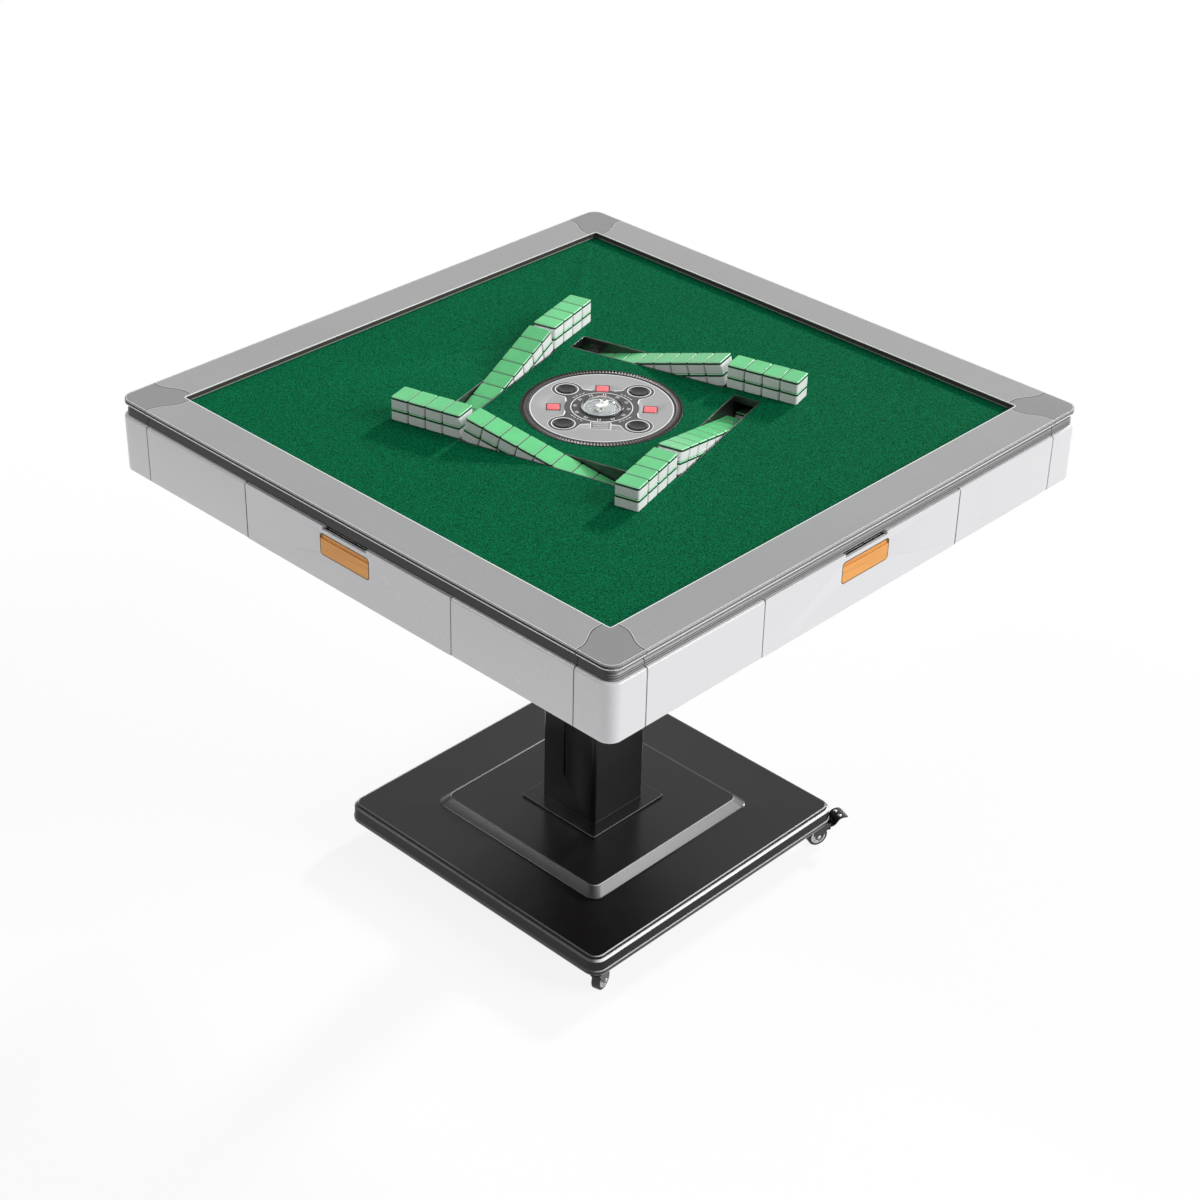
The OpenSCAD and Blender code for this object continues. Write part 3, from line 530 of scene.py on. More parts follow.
def uneven_paint(tree, take):
    """Slow drift between two tones with a fine speckle on it, and a roughness that rises where
    faint smears lie."""
    slow = noise(tree, take["Vector"], take["Scale"], 4, 0.55)
    fine = noise(tree, take["Vector"], maths(tree, "MULTIPLY", take["Scale"], 60.0), 2)
    speck = maths(tree, "MULTIPLY", spread(tree, fine, 0.3, 0.7, -1, 1), take["Speckle"])
    share = maths(tree, "ADD", spread(tree, slow, 0.35, 0.65), speck, True)
    smear = spread(tree, noise(tree, take["Vector"], 9.0, 6, 0.7), 0.42, 0.7)
    return {"Color": blended(tree, share, take["Tone"], take["Second tone"]),
            "Roughness": spread(tree, smear, 0, 1, take["Roughness low"],
                                take["Roughness high"])}


def fine_grain(tree, take):
    """Small bumps of two sizes, the larger four times the smaller."""
    small = noise(tree, take["Vector"], take["Scale"], 2, 0.6)
    wide = noise(tree, take["Vector"], maths(tree, "MULTIPLY", take["Scale"], 0.25), 2)
    height = maths(tree, "ADD", small, wide)
    return {"Normal": bumped(tree, height, take["Strength"], 0.0004)}


def brushed_lines(tree, take):
    """Fine lines: noise squeezed across the brushing and stretched along it."""
    lines = noise(tree, scaled(tree, take["Vector"], take["Stretch"]), 1.0, 3, 0.6)
    share = spread(tree, lines, 0.3, 0.7)
    return {"Color": blended(tree, share, take["Tone"], take["Second tone"]),
            "Roughness": spread(tree, lines, 0.3, 0.7, 0.24, 0.42),
            "Normal": bumped(tree, lines, take["Strength"], 0.0002)}


def wood_figure(tree, take):
    """Lines along a side of the table: height is squeezed, the way along the side stretched, and
    a slow noise bends them. Along either side x + y is the way along it."""
    part = add(tree, "ShaderNodeSeparateXYZ", {0: take["Vector"]}).outputs
    along = maths(tree, "ADD", part[0], part[1])
    way = add(tree, "ShaderNodeCombineXYZ", {0: along, 2: part[2]}).outputs[0]
    lift = maths(tree, "MULTIPLY", noise(tree, way, 14.0, 2), 0.006)
    high = maths(tree, "ADD", part[2], lift)
    squeezed = add(tree, "ShaderNodeCombineXYZ", {
        0: maths(tree, "MULTIPLY", along, 9.0), 2: maths(tree, "MULTIPLY", high, 520.0)}).outputs[0]
    lines = noise(tree, squeezed, 1.0, 4, 0.65)
    pores = noise(tree, scaled(tree, squeezed, (6, 1, 3)), 1.0, 2)
    share = maths(tree, "ADD", spread(tree, lines, 0.32, 0.68, 0, 0.85),
                  spread(tree, pores, 0.62, 0.75, 0, 0.3), True)
    return {"Color": blended(tree, share, take["Tone"], take["Second tone"]),
            "Roughness": spread(tree, lines, 0.3, 0.7, 0.38, 0.55),
            "Normal": bumped(tree, share, 0.35, 0.0003)}


def cloth_nap(tree, take):
    """Pressed wool: fibres as two noises stretched across each other, clumps as a third."""
    runs = [noise(tree, scaled(tree, take["Vector"], by), take["Scale"], 3, 0.7)
            for by in ((1, 0.55, 1), (0.55, 1, 1))]
    fibre = maths(tree, "MAXIMUM", *runs)
    clump = noise(tree, take["Vector"], 160.0, 4, 0.7)
    share = maths(tree, "ADD", spread(tree, fibre, 0.47, 0.65, 0, 1),
                  spread(tree, clump, 0.3, 0.7, -0.08, 0.1), True)
    return {"Color": blended(tree, share, take["Second tone"], take["Tone"]),
            "Normal": bumped(tree, fibre, take["Strength"], 0.0008), "Mask": share}


def painted_edge_light(tree, take):
    """Painted highlight on edges where the value is above zero, painted shade in grooves where it
    is below.
    """
    bright = blended(tree, spread(tree, take["Painted light"], 0, 1), take["Color"], take["Light"])
    return {"Color": blended(tree, spread(tree, take["Painted light"], 0, -1), bright, full("050505"))}


# Each effect's builder, and the names of the sockets that it takes and gives
EFFECTS = {
    "Uneven paint": (uneven_paint, ("Vector", "Scale", "Tone", "Second tone", "Speckle",
                                    "Roughness low", "Roughness high"), ("Color", "Roughness")),
    "Fine grain": (fine_grain, ("Vector", "Scale", "Strength"), ("Normal",)),
    "Brushed lines": (brushed_lines, ("Vector", "Stretch", "Tone", "Second tone", "Strength"),
                      ("Color", "Roughness", "Normal")),
    "Wood figure": (wood_figure, ("Vector", "Tone", "Second tone"),
                    ("Color", "Roughness", "Normal")),
    "Cloth nap": (cloth_nap, ("Vector", "Scale", "Tone", "Second tone", "Strength"),
                  ("Color", "Normal", "Mask")),
    "Painted edge light": (painted_edge_light, ("Color", "Light", "Painted light"), ("Color",)),
}
# What those sockets carry; one that isn't named here carries a number
SOCKETS = {"Vector": "Vector", "Stretch": "Vector", "Normal": "Vector", "Tone": "Color",
           "Second tone": "Color", "Color": "Color", "Light": "Color"}


def shared_group(name):
    """Node group of a shared effect, built the first time it is asked for."""
    found = bpy.data.node_groups.get(name)
    if found:
        return found
    build, takes, gives = EFFECTS[name]
    tree = bpy.data.node_groups.new(name, "ShaderNodeTree")
    for way, keys in (("INPUT", takes), ("OUTPUT", gives)):
        for key in keys:
            kind = SOCKETS.get(key, "Float")
            tree.interface.new_socket(key, in_out=way, socket_type=f"NodeSocket{kind}")
    start, end = tree.nodes.new("NodeGroupInput"), tree.nodes.new("NodeGroupOutput")
    feed(tree, end, build(tree, start.outputs))
    return tree


def effect(tree, name, inputs):
    """Places a shared effect in a material and returns its outputs."""
    return add(tree, "ShaderNodeGroup", inputs, node_tree=shared_group(name)).outputs


def uneven(tree, here, scale, first, second, speckle, rough):
    """Uneven paint between two colours, with a roughness from low to high."""
    return effect(tree, "Uneven paint", {
        "Vector": here, "Scale": scale, "Tone": full(first), "Second tone": full(second),
        "Speckle": speckle, "Roughness low": rough[0], "Roughness high": rough[1]})


def grained(tree, here, scale, strength):
    """Normal of the fine grain."""
    return effect(tree, "Fine grain", {"Vector": here, "Scale": scale,
                                       "Strength": strength})["Normal"]


# ---------------------------------------------------------------- finishes

def empty(name):
    """New material with nothing but its object coordinates: the material, its tree and them."""
    material = bpy.data.materials.new(name)
    material.use_nodes = True
    tree = material.node_tree
    tree.nodes.clear()
    return material, tree, tree.nodes.new("ShaderNodeTexCoord").outputs["Object"]


def finished(material, inputs):
    """A material ended in one Principled shader with these inputs."""
    tree = material.node_tree
    shader = add(tree, "ShaderNodeBsdfPrincipled", inputs)
    add(tree, "ShaderNodeOutputMaterial", {0: shader.outputs[0]})
    return material


def paint(name, rgb, second=0.9, rough=(0.35, 0.5), specular=0.5, scale=6.0, speckle=0.25,
          grain=(900.0, 0.12), coat=0.0, coat_rough=0.1, highlight_colour="c6c2c2"):
    """Painted or moulded finish: uneven between a colour and a second one, which may be a share
    of the first, with smears and fine grain. Where a piece carries the attribute of painted light,
    one is a painted highlight on an edge and minus one painted shade in a groove."""
    found = bpy.data.materials.get(name)
    if found:
        return found
    material, tree, here = empty(name)
    other = darker(rgb, second) if isinstance(second, float) else second
    drift = uneven(tree, here, scale, rgb, other, speckle, rough)
    marks = effect(tree, "Painted edge light", {"Color": drift["Color"], "Light": full(highlight_colour),
                                        "Painted light": attribute(tree, "painted_light")})
    return finished(material, {
        "Base Color": marks["Color"], "Roughness": drift["Roughness"],
        "Normal": grained(tree, here, *grain), "Specular IOR Level": specular,
        "Coat Weight": coat, "Coat Roughness": coat_rough})


def brushed(name, rgb, second, stretch_by, strength=0.25):
    """Bare metal with brushed lines."""
    found = bpy.data.materials.get(name)
    if found:
        return found
    material, tree, here = empty(name)
    lines = effect(tree, "Brushed lines", {"Vector": here, "Stretch": stretch_by,
                                           "Tone": full(rgb), "Second tone": full(second),
                                           "Strength": strength})
    return finished(material, {"Base Color": lines["Color"], "Roughness": lines["Roughness"],
                               "Normal": lines["Normal"], "Metallic": 1.0})


def pull_wood(s):
    """Tan wood with fine level grain under a thin lacquer."""
    material, tree, here = empty("Pull wood")
    figure = effect(tree, "Wood figure", {"Vector": here, "Tone": full(s.wood_colour),
                                          "Second tone": full(s.wood_dark)})
    return finished(material, {"Base Color": figure["Color"], "Roughness": figure["Roughness"],
                               "Normal": figure["Normal"], "Coat Weight": 0.15,
                               "Coat Roughness": 0.3})


def cloth_finish(s):
    """Green pressed cloth: fibre speckle, slow clumps and a soft sheen."""
    material, tree, here = empty("Playing cloth")
    nap = effect(tree, "Cloth nap", {"Vector": here, "Scale": MM / s.fibre_size * 900,
                                     "Tone": full(s.green), "Second tone": full(s.deep_green),
                                     "Strength": 0.55})
    return finished(material, {
        "Base Color": nap["Color"], "Normal": nap["Normal"],
        "Roughness": spread(tree, nap["Mask"], 0, 1, 0.95, 0.82), "Specular IOR Level": 0.04,
        "Sheen Weight": 0.02, "Sheen Roughness": 0.4, "Sheen Tint": full("30c080")})


def tile_resin(s):
    """Two-layer resin: the height inside a tile picks body, joint line or back. Each tile has
    its own slight tone, a painted highlight round the top edge of its back, painted shade on the
    back's sides and painted shade on the flanks that face the next tile close by."""
    material, tree, here = empty("Tile resin")
    height = attribute(tree, "tile_height")
    joint = TILE_THICK - s.back_depth / MM
    back = uneven(tree, here, 30.0, s.back_colour, darker(s.back_colour, 0.9), 0.1, (0.2, 0.32))
    body = uneven(tree, here, 30.0, s.body_colour, darker(s.body_colour, 0.95), 0.1, (0.2, 0.3))
    above = spread(tree, height, joint, joint + 0.15)
    # Painted highlight: a pale band round the rounded top edge of the green back.
    rim = maths(tree, "SUBTRACT", spread(tree, height, 16.7, 16.95),
                spread(tree, height, 17.45, 17.7), True)
    line = maths(tree, "SUBTRACT", spread(tree, height, joint - 0.5, joint - 0.3),
                 spread(tree, height, joint + 0.3, joint + 0.9), True)
    toned = blended(tree, maths(tree, "MULTIPLY", attribute(tree, "tile_tone"), 0.35),
                    back["Color"], full(darker(s.back_colour, 0.72)))
    rim_highlit = blended(tree, maths(tree, "MULTIPLY", rim, 0.55), toned, full("e6ffee"))
    # Painted shade: the sides of the green back, below the top's edge, take the darker flank
    # colour.
    flank_shaded = blended(tree, spread(tree, height, 16.75, 16.45), rim_highlit, full(s.flank_shade_colour))
    lined = blended(tree, line, blended(tree, above, body["Color"], flank_shaded),
                    full(s.line_colour))
    # Painted shade on the flanks that face the next tile in the row: grey on the body, dark green
    # on the back.
    crease_shade = blended(tree, above, full("a8a5a3"), full("05301c"))
    near = spread(tree, attribute(tree, "tile_contact_shade"), 0.3, 1.0, 0, 0.6)
    return finished(material, {
        "Base Color": blended(tree, near, lined, crease_shade), "Roughness": back["Roughness"],
        "Normal": grained(tree, here, 700.0, 0.03), "Specular IOR Level": 0.4})


def clear_dome():
    """Clear moulded dome: plain transmission, and light passes it on the way to what it
    covers."""
    material, tree, here = empty("Clear dome")
    tint = uneven(tree, here, 20.0, "fbfcfc", "f0f3f3", 0.0, (0.05, 0.09))
    shader = add(tree, "ShaderNodeBsdfPrincipled", {
        "Transmission Weight": 1.0, "IOR": 1.2, "Base Color": tint["Color"],
        "Roughness": tint["Roughness"]})
    through = add(tree, "ShaderNodeBsdfTransparent", {"Color": full((0.93, 0.94, 0.94))})
    path = tree.nodes.new("ShaderNodeLightPath")
    mix = add(tree, "ShaderNodeMixShader", {0: path.outputs["Is Shadow Ray"],
                                            1: shader.outputs[0], 2: through.outputs[0]})
    add(tree, "ShaderNodeOutputMaterial", {0: mix.outputs[0]})
    return material


def bright_metal():
    """Bright turned steel of rivets, bolts and the wheel rings."""
    return brushed("Bright steel", "d8d9da", "a4a6a8", (500, 500, 90), 0.15)


def dark_moulding():
    """Dark moulded plastic out of sight."""
    return paint("Dark moulding", "232426", rough=(0.45, 0.6), grain=(1200, 0.2))


def dark_steel_paint(s):
    """Dark satin paint of the column and base."""
    return paint("Dark satin paint", s.steel_colour, 0.82, rough=(0.2, 0.27), specular=0.32,
                 scale=3.0, speckle=0.5, grain=(1400, 0.1), highlight_colour="ececec")


def apron_gloss(s):
    """White gloss panels."""
    return paint("White gloss", s.apron_colour, 0.97, rough=(0.2, 0.3), scale=2.0, speckle=0.1,
                 grain=(500, 0.02), coat=0.25, coat_rough=0.12)


# ---------------------------------------------------------------- top: bezel, neck, apron

class MAHJONG_OT_bezel(bpy.types.Operator):
    """Bezel rails and corner caps with eased edges"""
    bl_idname = "mahjong.bezel"
    bl_label = "Bezel"

    def execute(self, context):
        s = context.scene.mahjong_top
        for label, rgb, name, node, slot in (
                ("Bezel satin", s.bezel_colour, "rails_eased", "bezel_rails", "bezel_grey"),
                ("Cap satin", s.cap_colour, "caps_eased", "corner_caps", "cap_grey")):
            satin = paint(label, rgb, 0.93, rough=(0.34, 0.42), specular=0.4, scale=2.5,
                          speckle=0.3, grain=(1600, 0.1))
            dressed(name, node, "table", satin, s.bezel_ease / MM, 3)
        # Painted highlights: thin white strips along the outer top edge, the lower lip, the
        # opening's edge and beside each cap seam.
        light = paint("Edge light", "f4f4f5", rough=(0.25, 0.35), grain=(900, 0.03))
        black = paint("Groove painted shade", "161617", rough=(0.35, 0.45), specular=0.2)
        seam = self.cap_seam()
        other = seam * np.array([1, -1])
        lines = [ring_strip(BEZEL_HALF, BEZEL_CORNER, section) for section in (
            [(-2.1, 759.8), (-2.0, 760.05), (-0.7, 759.95), (-0.1, 759.4), (0.04, 758.4),
             (-0.3, 758.3)],
            [(-0.6, 754.9), (0.05, 754.8), (0.06, 753.4), (-0.6, 753.2)])]
        lines.append(ring_strip(OPENING_HALF, 3.5, [(-0.1, 758.9), (-0.12, 760.05),
                                                    (1.2, 760.06), (1.2, 759.8)]))
        lines += [four_sides(ribbon(path + np.array([0, step]), 0.28, 759.7, 760.04))
                  for path, step in ((seam, -0.95), (other, 0.95))]
        put("bezel_painted_highlights", joined(*lines), "table", light)
        # Painted shade: black strips in the edge groove, on the cap seams and down their outer
        # ends; on the sides facing Y their parts below the top get a little painted highlight.
        groove_shade = ring_strip(BEZEL_HALF, BEZEL_CORNER, [
            (-1.6, 755.5), (-0.5, 754.95), (0.03, 754.95), (0.03, 758.2), (-0.5, 758.2),
            (-1.6, 757.5)])
        upright = block(0.3, 1.2, 753.3, 759.4, 0.05)
        dark = joined(groove_shade, four_sides(
            ribbon(seam, 0.6, 759.7, 760.03), ribbon(other, 0.6, 759.7, 760.03),
            *(moved(upright, BEZEL_HALF - 0.05, y) for y in (CAP_SEAM, -CAP_SEAM))))
        put("bezel_painted_shade", dark, "table", black, values={
            "painted_light": 0.3 * lit_side_share(dark[0], 0) * (dark[0][:, 2] < 758.5)})
        wall = ring_strip(OPENING_HALF, 3.2, [(0.2, 753.2), (-0.15, 753.2), (-0.15, 758.9),
                                              (0.2, 758.9)])
        put("bezel_inner_wall", wall, "table",
            paint("Inner wall", "4a4541", specular=0.2))
        return {"FINISHED"}

    @staticmethod
    def cap_seam():
        """Middle of the seam between cap and rail at the +X side: a share s of the way in from
        the outside, it lies 59 + 16.7 (1 - cos 180 t) / 2 from the corner, where t is
        (s - 0.13) / 0.69 kept between 0 and 1."""
        s = np.linspace(0.01, 0.985, 41)
        t = np.clip((s - 0.13) / 0.69, 0, 1)
        return np.stack([BEZEL_HALF - BEZEL_WIDTH * s,
                         CAP_SEAM - 16.7 * (1 - np.cos(np.pi * t)) / 2], -1)


class MAHJONG_OT_neck(bpy.types.Operator):
    """Ribbed dark band under the bezel, in four straight stretches and four corners"""
    bl_idname = "mahjong.neck"
    bl_label = "Neck band"

    def execute(self, context):
        s = context.scene.mahjong_top
        ribs = [(out + d, z + h) for out, z in ((467, 736), (467, 739.7), (465.5, 746.6),
                                                (465.5, 750.1))
                for d, h in ((0, 0.15), (0, 1.3), (-1.15, 3.0), (-1.15, 3.4))]
        ribs[8:8] = [(466.9, 743.3), (466.9, 744.0), (464.4, 746.3), (464.4, 746.5)]
        corners = [(453, 736)] + ribs + [(453, 753.4)]
        profile = eased(corners, [0.1] * len(corners), 1)
        line = NECK_HALF - NECK_CORNER
        band = four_sides(side_run(profile, line, 0.5 - CAP_SEAM, CAP_SEAM - 0.5, 0.1),
                          corner_run(profile, line, CAP_SEAM + 0.5, 0.1, 10))
        # Painted highlight: a little on the whole band and more on the downward slopes of the ribs,
        # strongest on the sides facing Y.
        highlit_slope = np.tile(np.roll(profile, -1, 0)[:, 0] < profile[:, 0] - 0.3,
                        len(band[0]) // len(profile))
        put("neck_ribbed", band, "table",
            paint("Neck band", s.neck_colour, 0.75, rough=(0.3, 0.36), specular=0.4,
                  grain=(1200, 0.06)), 25, stands_for=["neck_trim"],
            values={"painted_light": (0.12 + 0.5 * highlit_slope) * lit_side_share(band[0], 0.06)})
        return {"FINISHED"}


class MAHJONG_OT_apron(bpy.types.Operator):
    """Apron side panels and corner pieces with a rounded lip"""
    bl_idname = "mahjong.apron"
    bl_label = "Apron"

    def execute(self, context):
        s = context.scene.mahjong_top
        profile = eased([(457.5, 650), (APRON_HALF, 650), (APRON_HALF, 736), (457.5, 736)],
                        [0.8, s.apron_foot / MM, s.apron_lip / MM, 0.8], 5)
        line = APRON_HALF - APRON_CORNER
        start, end = DRAWER_SEAM + 0.2, CORNER_SEAM - 0.6
        put("apron_lipped", four_sides(side_run(profile, line, start, end, 0.5),
                                       side_run(profile, line, -end, -start, 0.5),
                                       corner_run(profile, line, CORNER_SEAM + 0.6, 0.5, 14)),
            "table", apron_gloss(s), stands_for=["apron_panels"])
        shrunk = profile + inwards(profile) * 0.3
        gaskets = [side_run(shrunk, line, mid - 0.5, mid + 0.5, 0.05)
                   for mid in (CORNER_SEAM, DRAWER_SEAM, -CORNER_SEAM, -DRAWER_SEAM)]
        put("apron_gaskets", four_sides(*gaskets), "table",
            paint("Seam gasket", "3a3a3b", specular=0.3))
        return {"FINISHED"}


class MAHJONG_OT_drawers(bpy.types.Operator):
    """Drawer fronts, wooden pulls, trays and runners"""
    bl_idname = "mahjong.drawers"
    bl_label = "Drawers"

    def execute(self, context):
        s = context.scene.mahjong_drawer
        white = apron_gloss(context.scene.mahjong_top)
        wood = pull_wood(s)
        grey = paint("Tray moulding", s.tray_colour, rough=(0.4, 0.55), grain=(1300, 0.25))
        # Painted shade in the gap round each pull, dark brown.
        gap_shade = paint("Pull painted shade", "5b3c1d", rough=(0.4, 0.5), specular=0.3)
        black = paint("Notch painted shade", "1b1b1c", rough=(0.5, 0.6), specular=0.2)
        # Painted shade: black sheets on the ledge and back wall of the finger notch at the drawer
        # front's top.
        notch_shade = joined(moved(block(3.6, 83.2, 730.5, 730.72, 0.05), 465.4),
                        moved(block(0.3, 83.2, 730.5, 735.4, 0.05), 463.6))
        for k in SIDES:
            body = f"drawer_{k}"
            dressed(f"front_eased_{k}", f"drawer_front_{k}", body, white, 0.9, 3)
            dressed(f"pull_grained_{k}", f"drawer_pull_{k}", body, wood, 0.6, 2)
            dressed(f"tray_eased_{k}", f"drawer_tray_{k}", body, grey, 0.4, 2)
            put(f"pull_painted_shade_{k}", self.faced(self.outline(), k), body, gap_shade)
            put(f"notch_painted_shade_{k}", self.faced(notch_shade, k), body, black)
        keep("drawer_runners", brushed("Runner steel", "b9bcbe", "8e9194", (60, 60, 900)))
        return {"FINISHED"}

    @staticmethod
    def faced(shape, k):
        """A shape made at the +X side, put at the side of drawer k."""
        low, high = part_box(f"drawer_front_{k}")
        mid = (low + high) / 2
        return turned(shape[0], round(math.degrees(math.atan2(mid[1], mid[0])))), shape[1]

    @staticmethod
    def outline():
        """Thin frame of painted shade in the gap round the pull: two rounded oblongs, an arc at
        each corner, at the depth of the front's face."""
        made = []
        for grow, depth in ((-0.9, 471.0), (0.25, 471.0), (0.25, 471.54), (-0.9, 471.54)):
            y, z, r = 47 + grow, 16 + grow, 5 + grow
            flat = eased([(-y, 708.5 - z), (y, 708.5 - z), (y, 708.5 + z), (-y, 708.5 + z)],
                         [r] * 4, 5)
            made.append(np.column_stack([np.full(len(flat), depth), flat]))
        points = np.stack(made, 1)
        return points.reshape(-1, 3), [grid(len(points), 4, True, True)]


# ---------------------------------------------------------------- playing surface

class MAHJONG_OT_cloth(bpy.types.Operator):
    """Playing cloth, stretched on its board"""
    bl_idname = "mahjong.cloth"
    bl_label = "Cloth"

    def execute(self, context):
        green = cloth_finish(context.scene.mahjong_cloth)
        cloth = dressed("cloth_sheet", "felt_cloth", "table", green, 0.35, 2)
        faces = cloth.data.polygons
        normals = np.zeros(len(faces) * 3, np.float32)
        areas = np.zeros(len(faces), np.float32)
        faces.foreach_get("normal", normals)
        faces.foreach_get("area", areas)
        keep("play_board", paint("Pressed board", "b08a5c", "8f6c44", rough=(0.7, 0.85),
                                 scale=60, speckle=0.6, grain=(700, 0.6)))
        return {"FINISHED"}


class MAHJONG_OT_slots(bpy.types.Operator):
    """Slot liners and hinged ramp plates"""
    bl_idname = "mahjong.slots"
    bl_label = "Slots"

    def execute(self, context):
        metal = brushed("Liner metal", "77797a", "4c4e4f", (40, 40, 900))
        dressed("liners_eased", "slot_liners", "table", metal, 0.25, 1)
        for k in SIDES:
            dressed(f"ramp_eased_{k}", f"ramp_plate_{k}", f"ramp_{k}", metal, 0.3, 1)
        return {"FINISHED"}


def tile_shape(s):
    """One tile in its own frame: rounded oblongs stacked up its height. An outline's half sides
    are those of the tile less an inset, and the inset follows a quarter circle at both ends."""
    e = s.edge_round / MM
    ends = np.radians([90, 60, 25, 0])
    inset = e * (1 - np.cos(ends[::-1]))[::-1]
    lift = e * (1 - np.sin(ends))
    rise = np.concatenate([lift, TILE_THICK - lift[::-1]])
    inset = np.concatenate([inset, inset[::-1]])
    corner = 2.8
    a = np.radians(np.arange(4)[:, None] * 90 + np.array([0, 45, 90]))
    sx, sy = np.array([1, -1, -1, 1])[:, None], np.array([1, 1, -1, -1])[:, None]
    r = np.maximum(corner - inset, 0.5)[:, None, None]
    x = sx * (TILE_WIDE / 2 - corner) + np.cos(a) * r
    y = sy * (TILE_LONG / 2 - corner) + np.sin(a) * r
    z = np.broadcast_to(rise[:, None, None], x.shape)
    return np.stack([x, y, z], -1).reshape(-1, 3), capped(len(rise), 12)


def tile_rows(shape, cols, x0, high, k, leant):
    """Two tiers of tiles along a wall, each a step further on, in the table's frame, with each
    point's height in its tile, its tile's tone and its share of painted shade from lying close to
    the next tile."""
    points, faces = shape
    i, tier = (v.ravel() for v in np.meshgrid(np.arange(cols), np.arange(2), indexing="ij"))
    shift = np.stack([x0 + TILE_WIDE / 2 + TILE_STEP * i, np.full(2 * cols, WALL_LINE),
                      high + TIER_STEP * tier], -1)
    made = points[None] + shift[:, None]
    made = on_ramp(made) if leant else made
    own = np.repeat(np.modf(np.abs(np.sin((i + 5 * tier + 13 * k + x0) * 12.9) * 437.5))[0],
                    len(points))
    # Painted shade mask: one on the sides that face a neighbouring tile, fading round the corners.
    side = np.clip((np.abs(points[:, 0]) - 10.7) / 2.8, 0, 1)
    near = side[None] * np.where(points[:, 0] > 0, (i < cols - 1)[:, None], (i > 0)[:, None])
    return ((at_wall(made, k).reshape(-1, 3), repeated(faces, 2 * cols, len(points))),
            np.tile(points[:, 2], 2 * cols), own, near.ravel())


class MAHJONG_OT_tiles(bpy.types.Operator):
    """Tiles in four walls: on the cloth, on the ramps and on the lower track"""
    bl_idname = "mahjong.tiles"
    bl_label = "Tiles"

    def execute(self, context):
        s = context.scene.mahjong_tile
        resin = tile_resin(s)
        shape = tile_shape(s)
        still = [part for k in SIDES for part in (
            tile_rows(shape, 4, -229.9, FELT_TOP, k, False),
            tile_rows(shape, 5, 241.2, 4.0, k, True))]
        groups = [("wall_tiles_two_tone", "table", "wall_tiles", still)] + [
            (f"ramp_tiles_two_tone_{k}", f"ramp_{k}", f"ramp_tiles_{k}",
             [tile_rows(shape, 8, -5.6, 4.0, k, True)]) for k in SIDES]
        for name, body, node, parts in groups:
            shapes, heights, tones, contact_shade = zip(*parts)
            piece = put(name, joined(*shapes), body, resin, 60, stands_for=[node],
                        values={"tile_height": np.concatenate(heights),
                                "tile_tone": np.concatenate(tones),
                                "tile_contact_shade": np.concatenate(contact_shade)})
            piece.modifiers.new("Flat faces", "WEIGHTED_NORMAL").keep_sharp = True
        return {"FINISHED"}


# ---------------------------------------------------------------- centre unit

def button_centres():
    """Middle of each round button."""
    a = np.radians(BUTTON_TURN - 90 + 90 * np.arange(1, 5))
    return np.stack([np.cos(a), np.sin(a)], -1) * BUTTON_REACH


def at_buttons(shape):
    """One copy of a shape at each button."""
    return [moved(shape, x, y) for x, y in button_centres()]


def insert_distance(x, y, s, grow):
    """Signed distance to the insert: a disc in the middle and four lobes round the buttons run
    together. The smooth least of a and b with blend k is min(a, b) - h h k / 4, with
    h = max(k - |a - b|, 0) / k."""
    disc = np.hypot(x, y) - s.insert_disc / MM
    bx, by = button_centres().T
    lobes = (np.hypot(x[..., None] - bx, y[..., None] - by) - s.insert_lobe / MM).min(-1)
    k = 15.0
    h = np.maximum(k - np.abs(disc - lobes), 0) / k
    return np.minimum(disc, lobes) - h * h * k / 4 - grow


def insert_sheet(s, grow, low, high):
    """Insert as thin sheets: one ring round the middle and one round each button, whose outer
    edge lies at distance zero, found by halving, or at the ring's own edge."""
    disc = s.insert_disc / MM - 1.0
    shapes = [flat_ring(30.4, disc, low, high, 128)]
    t = np.linspace(0, 2 * np.pi, 120, endpoint=False)
    for bx, by in button_centres():
        near, far = np.full(t.shape, 15.0), np.full(t.shape, 46.0)
        for _ in range(26):
            mid = (near + far) / 2
            x, y = bx + mid * np.cos(t), by + mid * np.sin(t)
            inside = (insert_distance(x, y, s, grow) < 0) & (np.hypot(x, y) > disc)
            near, far = np.where(inside, mid, near), np.where(inside, far, mid)
        edge = np.stack([np.full(t.shape, 14.4), near, near, np.full(t.shape, 14.4)], 1)
        z = np.broadcast_to([low, low, high, high], edge.shape)
        points = np.stack([bx + edge * np.cos(t)[:, None], by + edge * np.sin(t)[:, None], z], -1)
        shapes.append((points.reshape(-1, 3), [grid(len(t), 4, True, True)]))
    return joined(*shapes)


